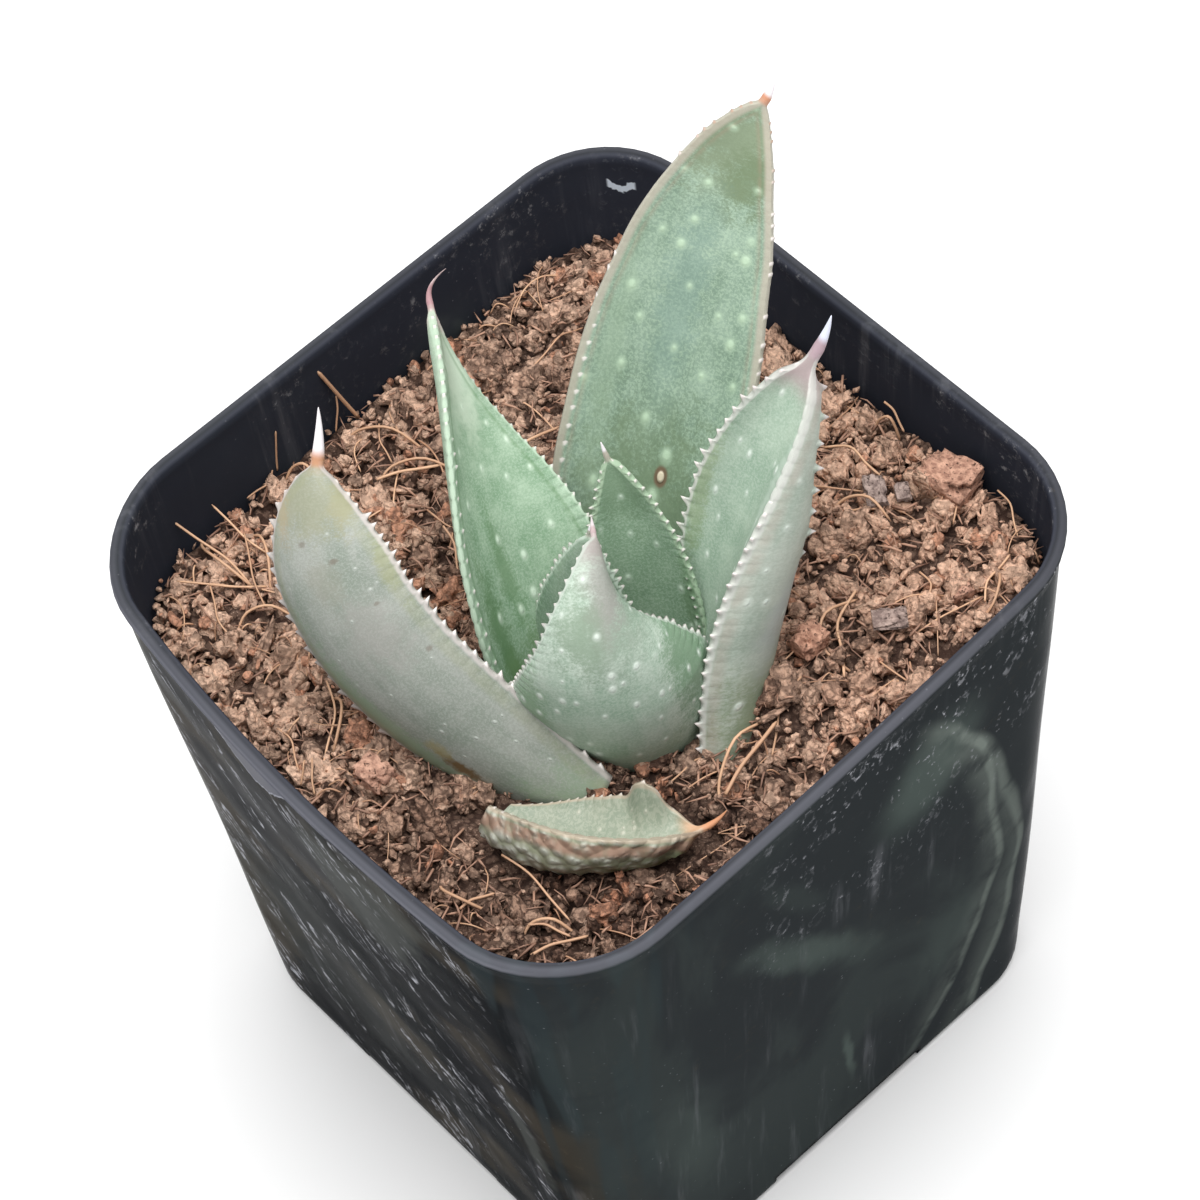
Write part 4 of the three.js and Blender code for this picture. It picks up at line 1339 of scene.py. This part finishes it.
def build_leaf(name, slot, seed, finish, **leaf):
    leaf["length"] = leaf_length(leaf)

    def wobble(a, b):
        return noise.noise(Vector((a, b, seed * 3.7)))

    stations = leaf_stations(leaf, seed)
    rings = [round_off(leaf, station[0], leaf_ring(leaf, station, wobble)) for station in stations]
    count = len(rings[0])
    entries = [entry for ring in rings for entry in ring]
    spine = [0.0] * len(entries)
    for p, t in spine_rings(leaf, count):
        entries.append((p, (0, leaf["length"], 0), 0, 9, 0))
        spine.append(t)
    points, leaf_at, under, edge_mm, tooth = zip(*entries)
    piece = make_piece(
        name + "_skin", [tuple(p) for p in points], skin_faces(len(points) // count, count), finish)
    along = [min(1, y / leaf["length"]) for _, y, _ in leaf_at]
    paint(piece, along=along, leaf_at=leaf_at, under=under, edge_mm=edge_mm, tooth=tooth, spine=spine)
    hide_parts(name)
    print(name, "is", round(leaf["length"], 1), "mm long")


print("rings of a spine:", SPINE_RINGS)

# %% [markdown]
# ## Marks on the skin
# Spots come from a flat cell pattern laid out in millimetres across and along the blade. Only some
# cells carry one, so they are scattered unevenly as on the plant. Patches, scars and warts are laid on
# one by one, by place and half size: a patch is soft, a scar is sharper, and a wart is raised.


# %% Marks on a leaf
def mark_gap(finish, at, x, y, wide, tall):
    offset = finish.node("ShaderNodeVectorMath", {"operation": "SUBTRACT"}, [at, (x, y, 0)])
    flat = finish.stretch(offset, 1 / wide, 1 / tall, 0)
    return finish.node("ShaderNodeVectorMath", {"operation": "LENGTH"}, [flat], 1)


def ragged_coats(finish, at, flecks, marks, grain, ragged):
    coats = []
    for x, y, wide, tall, colour, strength in marks:
        gap = mark_gap(finish, at, x, y, wide, tall) + finish.waver(at, grain, 4.0, 1.8, 0.7)
        gap = gap + (flecks - 0.5) * ragged
        coats.append((finish.fade(gap, 0.3, 1.15) * strength, colour))
    return coats


def spot_masks(finish, at, edge, flecks, across_scale, along_scale, share, size):
    layout = finish.stretch(at, across_scale, along_scale, 0)
    lot = finish.cells(layout, spread=0.9, space="2D", output=1)
    near = finish.cells(layout, spread=0.9, space="2D") - finish.channel(lot, 0) * (size * 0.5)
    near = near + (flecks - 0.5) * (size * 0.5)
    chosen = finish.step(finish.channel(lot, 1), 1 - share, 1.02 - share) * finish.step(edge, 0.5, 1.0)
    glow = finish.fade(near, size * 0.1, size * 1.1) * chosen
    core = finish.fade(near, size * -0.1, size * 0.5) * chosen
    return glow, core


def line_mask(finish, at, edge, under, near_mm, far_mm, side, strength):
    # A broken line along the margin, on the upper face or on the back
    band = finish.step(edge, near_mm - 0.15, near_mm + 0.15) * finish.fade(edge, far_mm - 0.3, far_mm + 0.3)
    on_side = under if side == "back" else 1 - under
    return band * on_side * (finish.blots(at, 0.6, 3.0, 0.3, 0.55) * 0.6 + 0.4) * strength


print("kinds of marks: patches, scars, warts, spots and margin lines")

# %% [markdown]
# ## Leaf skins
# Each leaf is its own mix of the same skin: a waxy green upper side, a greyer back, a bloom of fine
# light flecks, pale spots, a horny margin with white teeth, and a tip that has dried to pink or brown.
# A withered skin has pale pads as well, with painted shade in the furrows between them. The finish lays these
# one over another, in the order in which they cover each other on the plant.

# %% Leaf finish
# The last of these colours is painted shade in the furrows of a withered skin.
HORN, WART_MIDDLE, PAD, FURROW_SHADE = (238, 230, 226), (216, 204, 180), (206, 210, 196), (134, 138, 112)


def leaf_skin(
    name, upper, lower, spot, tip, rim, spots, burn, dried=0.95, bloom=0.3, rim_mm=0.3, line=None, patches=(),
    scars=(), warts=(), shine=0.45, tooth_white=0.85, grain=4.2, wrinkled=0.0, dry_teeth=0.2,
):
    finish = Finish(name)
    at = finish.arrow("leaf_at")
    along, under = finish.number("along"), finish.number("under")
    edge, tooth, spine = finish.number("edge_mm"), finish.number("tooth"), finish.number("spine")
    clouds = finish.cloud(at, 0.2, 4.0, 0.6)
    streaks = finish.cloud(finish.stretch(at, 0.7, 0.08, 1.0), 1.0, 3.0) - 0.5
    flecks = finish.cloud(at, grain, 3.0, 0.7, 0.6)
    top = finish.mix(finish.step(clouds + streaks * 0.45, 0.25, 0.75), *upper)
    bottom = finish.mix(finish.step(clouds + streaks * 0.6, 0.25, 0.75), *lower)
    glow, core = spot_masks(finish, at, edge, flecks, *spots)
    colour = finish.coats(
        finish.mix(finish.step(under, 0.25, 0.75), top, bottom),
        (finish.step(flecks, 0.44, 0.6) * bloom, spot),
        (finish.fade(flecks, 0.34, 0.46) * (bloom * 0.6), upper[0]),
        *ragged_coats(finish, at, flecks, patches, 0.5, 1.1),
        *ragged_coats(finish, at, flecks, scars, 1.3, 0.4),
    )
    height = flecks * 0.12 + clouds * 0.3 + core * 0.4
    for *place, wart_colour in warts:
        gap = mark_gap(finish, at, *place)
        wart = (finish.fade(gap, 0.8, 1.25), wart_colour)
        colour = finish.coats(colour, wart, (finish.fade(gap, 0.42, 0.62), WART_MIDDLE))
        height = height + finish.fade(gap, 0.3, 0.7) * 1.2
    colour = finish.mix(glow * 0.5 + core * 0.4, colour, spot)
    if wrinkled:
        settings = {"voronoi_dimensions": "2D", "feature": "SMOOTH_F1"}
        inputs = {"Vector": finish.stretch(at, 1.2, 0.95, 0), "Scale": 1.0, "Smoothness": 0.3}
        pads = finish.node("ShaderNodeTexVoronoi", settings, inputs)
        shrunk = under * wrinkled
        # Pale pads, and painted shade in the furrows between them
        pale, dark = finish.fade(pads, 0.1, 0.4) * shrunk, finish.step(pads, 0.36, 0.6) * shrunk
        colour = finish.coats(colour, (pale, PAD), (dark, FURROW_SHADE))
        height = height - pads * shrunk * 3.0
    dry = finish.step(along + (clouds - 0.5) * 0.12, dried, dried + 0.09)
    colour = finish.mix(dry * 0.8, colour, tip)
    if line:
        tint, *where = line
        colour = finish.mix(line_mask(finish, at, edge, under, *where), colour, tint)
    horny = finish.fade(edge + (flecks - 0.5) * 0.2, rim_mm * 0.5, rim_mm * 1.2)
    horn = finish.mix(finish.step(along, 0.7, 0.88) * dry_teeth, HORN, tip)
    burnt, reach, pale = burn
    spined = finish.mix(finish.step(spine, reach, reach + 0.25), burnt, pale)
    colour = finish.coats(
        colour,
        (horny * 0.75, rim),
        (finish.step(tooth, 0.2, 0.75) * tooth_white, horn),
        (finish.step(along, 0.972, 0.99) * 0.8, burnt),
        (finish.step(spine, 0.0, 0.05), spined),
    )
    return finish.surface(
        Base_Color=colour,
        Roughness=0.46 + flecks * 0.14 + dry * 0.1 - glow * 0.06,
        Normal=finish.bump(height, 0.5, 0.3),
        Specular_IOR_Level=shine,
    )


WHITE_SPINE = (238, 232, 236)
print("a white spine in linear light:", [round(c, 2) for c in srgb(*WHITE_SPINE)])

# %% [markdown]
# ## The eight leaves
# Colours are read from the photograph, leaf by leaf. The tall leaf stands upright at the back,
# with its broad face to the camera. Its teeth are worn down to dots and its margin is a wide horny
# band, brownish towards the tip. A darker patch lies under the tip and a brown wart low on the face.

# %% Tall leaf at the back
build_leaf(
    "leaf_tall_back", "leaf_green", 31,
    root=(5.4, -1.6, 64), belly=(-4.2, 18.6, 100), tip=(-2.4, 27.5, 108), face=(-62, -63),
    width=17.6, widest=0.2, neck=0.74, taper=1.9, cup=(27, 12), thick=2.8, back=2,
    spine=2.17, girth=0.45, teeth=(40, 0.05, 0.24), gaps=0.4, rim_thick=0.6, notch=0.1,
    face_teeth={1: (0.06, 0.5), -1: (0.06, 0.45)},
    finish=leaf_skin(
        "tall_leaf_skin", upper=((110, 134, 116), (146, 168, 150)), lower=((142, 162, 140), (162, 180, 158)),
        spot=(182, 206, 178), tip=(176, 140, 116), rim=(182, 172, 158), spots=(0.3, 0.24, 0.8, 0.17),
        burn=((196, 138, 108), 0.08, WHITE_SPINE), dried=0.965, bloom=0.34, rim_mm=0.75, dry_teeth=0.9,
        line=((158, 128, 112), 1.0, 1.3, "upper", 0.3), grain=3.6,
        patches=[
            (0, 45, 7, 9, (122, 136, 108), 0.85), (-2.2, 41, 3.0, 5.5, (104, 122, 90), 0.7),
            (0, 8, 8, 11, (108, 128, 98), 0.75), (0.5, 27, 2.4, 12, (122, 148, 138), 0.5),
            (5.5, 20, 1.4, 16, (142, 164, 138), 0.35)],
        warts=[(-1.1, 11.7, 0.62, 0.8, (112, 94, 74))]))

# %% [markdown]
# The left leaf tapers to a long point whose spine is drawn out into a small hook. It is the brightest
# green, darker and mottled near its root, with a dark line beside the margin.

# %% Left leaf
build_leaf(
    "leaf_left", "leaf_green", 32,
    root=(7.4, -9.2, 64), belly=(-1, -10, 88.5), tip=(-17.7, -0.2, 92.4), face=(-6, 21),
    width=16.3, widest=0.27, neck=0.7, taper=1.6, cup=(47, 18), thick=2.4, back=1.6,
    spine=3, girth=0.3, teeth=(34, 0.25, 0.4), face_teeth={1: (0.0, 0.74)},
    hook=(1.3, 1.6, 0.2), spine_rise=0.9,
    finish=leaf_skin(
        "left_leaf_skin", upper=((118, 150, 120), (158, 182, 157)), lower=((150, 174, 148), (170, 190, 166)),
        spot=(208, 226, 206), tip=(186, 156, 160), rim=(182, 202, 180), spots=(0.36, 0.22, 0.8, 0.14),
        burn=((166, 128, 132), 0.5, (214, 190, 190)), dried=0.9, bloom=0.22, rim_mm=0.22,
        line=((86, 124, 80), 0.95, 1.3, "upper", 0.5),
        patches=[
            (4.9, 10, 1.6, 8, (82, 120, 74), 0.75), (1.5, 14, 1.2, 7, (92, 128, 86), 0.6),
            (2, 3, 9, 6, (116, 148, 98), 0.5), (0, 33, 3, 8, (196, 210, 190), 0.7)]))

# %% [markdown]
# The right leaf is folded along a strong keel, which carries teeth of its own and drifts to one side
# towards the tip. Both its face and its back show, and the back is paler.

# %% Right leaf
build_leaf(
    "leaf_right", "leaf_pale", 33,
    root=(20.8, -4.3, 64), belly=(12.2, 3.3, 83), tip=(14.5, 16.4, 97.8), face=(-129, -72),
    width=10.2, widest=0.48, neck=0.6, taper=2.2, cup=(62, 54), thick=7.6, back=1.2, slim=0.65,
    spine=3.8, girth=0.55, teeth=(32, 0.6, 0.75), bare_edge={-1: 0.62},
    keel_teeth=(0.46, 0.985, 0.85), keel_drift=-0.58, round_from=0.9,
    finish=leaf_skin(
        "right_leaf_skin", upper=((132, 156, 136), (162, 180, 162)), lower=((154, 168, 154), (182, 190, 178)),
        spot=(212, 222, 212), tip=(166, 142, 146), rim=(202, 202, 196), spots=(0.5, 0.26, 0.7, 0.14),
        burn=((172, 148, 156), 0.2, (218, 222, 238)), dried=0.86, bloom=0.2, rim_mm=0.2,
        line=((166, 146, 136), 0.2, 0.75, "back", 0.35), tooth_white=1.0,
        patches=[
            (4.4, 24, 1.2, 9, (136, 150, 104), 0.45), (62.6, 9, 2.4, 8, (136, 154, 124), 0.5),
            (60, 5, 4.5, 8, (130, 146, 116), 0.75), (60.5, 8, 0.8, 7, (130, 114, 84), 0.6),
            (-3.4, 26, 1.0, 10, (192, 206, 194), 0.5), (58.6, 14, 1.6, 6, (188, 196, 196), 0.5)]))

# %% [markdown]
# The oldest leaf leans out to the front left and shows its back, which has bleached to a silvery grey
# with a few scars, greener at its root. It ends in a long white spine on a burnt orange foot.

# %% Old leaf at the front left
build_leaf(
    "leaf_front_left", "leaf_grey", 34,
    root=(16.7, -15.3, 64.6), belly=(-6.3, -28.6, 79), tip=(-12.7, -18.1, 91), face=(111, 121),
    lift=(-24, -24), width=13.5, widest=0.35, neck=0.5, taper=3.5, cup=(3, 10), thick=2.7, back=2,
    spine=5, girth=0.57, teeth=(28, 0.6, 0.68),
    finish=leaf_skin(
        "old_leaf_skin", upper=((138, 160, 138), (158, 176, 154)), lower=((124, 133, 122), (150, 153, 146)),
        spot=(178, 184, 176), tip=(176, 140, 106), rim=(192, 184, 180), spots=(0.5, 0.4, 0.3, 0.1),
        burn=((192, 136, 100), 0.0, WHITE_SPINE), dried=0.945, bloom=0.3, rim_mm=0.28, tooth_white=1.0,
        line=((146, 148, 112), 0.35, 1.4, "back", 0.25),
        patches=[
            (60, 37.5, 7, 4.5, (144, 144, 116), 0.6), (55, 12, 1.9, 15, (134, 158, 130), 0.75),
            (59, 0, 7, 5, (136, 158, 130), 0.6), (65.6, 31, 1.0, 8, (144, 148, 108), 0.55),
            (62.6, 38, 1.3, 5, (150, 146, 110), 0.5), (57.0, 37.6, 1.0, 5, (172, 150, 118), 0.5),
            (60, 29, 2, 3, (140, 138, 124), 0.4), (62, 22, 3, 5, (156, 152, 148), 0.5)],
        scars=[
            (57.0, 8.8, 0.9, 2.4, (104, 82, 48), 0.95), (57.4, 11.0, 1.0, 1.4, (150, 140, 92), 0.6),
            (61.5, 31, 0.5, 0.4, (112, 104, 92), 0.7), (59, 33.4, 0.4, 0.5, (112, 104, 92), 0.6),
            (63.6, 25, 0.35, 0.3, (118, 108, 98), 0.6), (64.8, 18, 0.4, 0.35, (118, 108, 98), 0.6)]))

# %% [markdown]
# The front leaf is broad and short and is rolled round the heart of the rosette, with its pale back to
# the camera. Its narrow tip has dried to a pinkish grey.

# %% Front leaf
build_leaf(
    "leaf_front", "leaf_pale", 35,
    root=(16, -9.8, 64), belly=(20.7, -15.2, 85.3), tip=(9.1, -6.2, 88.6), face=(134, 180),
    width=21, widest=0.32, neck=0.75, taper=1.08, cup=(66, 64), thick=1.6, back=1.6,
    spine=1.4, girth=0.26, teeth=(30, 0.4, 0.55),
    finish=leaf_skin(
        "front_leaf_skin", upper=((120, 150, 124), (146, 172, 148)), lower=((144, 168, 148), (176, 190, 176)),
        spot=(212, 222, 212), tip=(160, 148, 146), rim=(186, 194, 184), spots=(0.5, 0.34, 0.75, 0.16),
        burn=((180, 160, 160), 0.3, (206, 196, 198)), dried=0.86, bloom=0.26, rim_mm=0.2, shine=0.35,
        patches=[
            (60, 19.5, 5, 5.5, (128, 143, 127), 0.6), (60, 24, 2.0, 6, (150, 146, 142), 0.75),
            # Painted shade: the patch at 57.8 across darkens the upward-facing upper left, and the one at 67.5
            # across the right of the back.
            (57.8, 20.5, 2.2, 5, (128, 148, 126), 0.6), (67.5, 12, 3.6, 10, (104, 134, 104), 0.8),
            (52.5, 9, 2, 9, (120, 152, 116), 0.6), (60, 2, 7, 4, (134, 158, 132), 0.5)]))

# %% [markdown]
# The centre leaf is the smallest standing leaf that shows whole, and the darkest green. Beside it only
# a toothed sliver of the inner left leaf can be seen.

# %% Centre and inner leaves
build_leaf(
    "leaf_centre", "leaf_dark", 36,
    root=(11.4, -4.7, 64), belly=(9, 0, 79.7), tip=(5, -0.3, 90), face=(-46, -38),
    width=12.3, widest=0.28, neck=0.75, taper=1.5, cup=(45, 40), thick=1.5, back=1.6,
    spine=1.7, girth=0.25, teeth=(28, 0.35, 0.6), face_teeth={-1: (0.0, 0.55)}, spine_rise=0.2,
    finish=leaf_skin(
        "centre_leaf_skin", upper=((122, 152, 124), (146, 172, 146)), lower=((126, 156, 128), (146, 174, 146)),
        spot=(206, 224, 206), tip=(190, 192, 178), rim=(162, 184, 156), spots=(0.42, 0.3, 0.75, 0.18),
        burn=((176, 170, 156), 0.3, WHITE_SPINE), dried=0.95, bloom=0.24, rim_mm=0.2,
        patches=[(-5, 12, 1.2, 7, (98, 130, 92), 0.6), (0, 24, 5, 6, (104, 130, 100), 0.6)]))
build_leaf(
    "leaf_inner_left", "leaf_green", 37,
    root=(9.1, -9, 64), belly=(7.9, -8.4, 76.7), tip=(7.3, -4.8, 86), face=(118, 118),
    width=10.8, widest=0.32, neck=0.7, taper=1.5, cup=(45, 35), thick=1.1, back=1.6,
    spine=0.8, girth=0.2, teeth=(22, 0.5, 0.5),
    finish=leaf_skin(
        "inner_leaf_skin", upper=((116, 156, 100), (142, 178, 124)), lower=((114, 138, 118), (138, 158, 138)),
        spot=(186, 204, 186), tip=(160, 168, 150), rim=(182, 196, 182), spots=(0.45, 0.4, 0.4, 0.12),
        burn=((160, 160, 146), 0.3, WHITE_SPINE), dried=0.97, bloom=0.24, rim_mm=0.22))

# %% [markdown]
# The withered leaf lies on the soil at the front. It has shrunk into a rolled, wrinkled husk with a
# raised knob on its far margin, pale green with brown along its fold, and its spine is orange-brown.

# %% Withered leaf
build_leaf(
    "leaf_withered", "leaf_withered", 38,
    root=(13.4, -24.6, 68), belly=(22.4, -23.2, 66.6), tip=(28, -12, 69.2), face=(140, 150),
    lift=(32, 70), width=12, widest=0.4, neck=0.55, taper=3, cup=(70, 80), thick=2.2, back=1.6,
    spine=2.6, girth=0.32, teeth=(17, 0.2, 0.3), ripple=0.35, pucker=1.3, hump=2.7,
    bare_edge={-1: 0.08, 1: 0.86}, round_from=0.9,
    finish=leaf_skin(
        "withered_leaf_skin", upper=((132, 144, 126), (152, 158, 140)),
        lower=((132, 136, 112), (180, 180, 164)), spot=(190, 190, 174),
        tip=(206, 158, 122), rim=(184, 168, 148), spots=(0.8, 0.8, 0.3, 0.2),
        burn=((206, 146, 108), 0.9, (222, 176, 140)), dried=0.88, bloom=0.3, rim_mm=0.25,
        line=((158, 126, 108), 0.45, 1.5, "back", 0.9), tooth_white=0.5, grain=2.4, wrinkled=0.7,
        patches=[
            (60, 15, 3.6, 6, (132, 152, 106), 0.7), (60, 3, 6, 5, (190, 190, 178), 0.7),
            (-5.6, 11, 1.2, 9, (186, 160, 140), 0.6)]))

# %% [markdown]
# ## Stem and roots
# They are hidden in the soil, so their solid is already the right shape. It only needs the finish of a
# pale, fibrous root.


# %% Stem finish
def root_skin():
    finish = Finish("root_skin")
    fibre = finish.cloud(finish.stretch(finish.place_mm(), 1.0, 1.0, 0.2), 1.2, 4.0)
    colour = finish.mix(fibre, (150, 118, 78), (206, 178, 132))
    return finish.surface(Base_Color=colour, Roughness=0.8, Normal=finish.bump(fibre, 0.5, 0.4))


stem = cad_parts["stem_and_roots"]
for entry in stem.material_slots:
    entry.material = root_skin()
print("stem slots:", len(stem.material_slots))
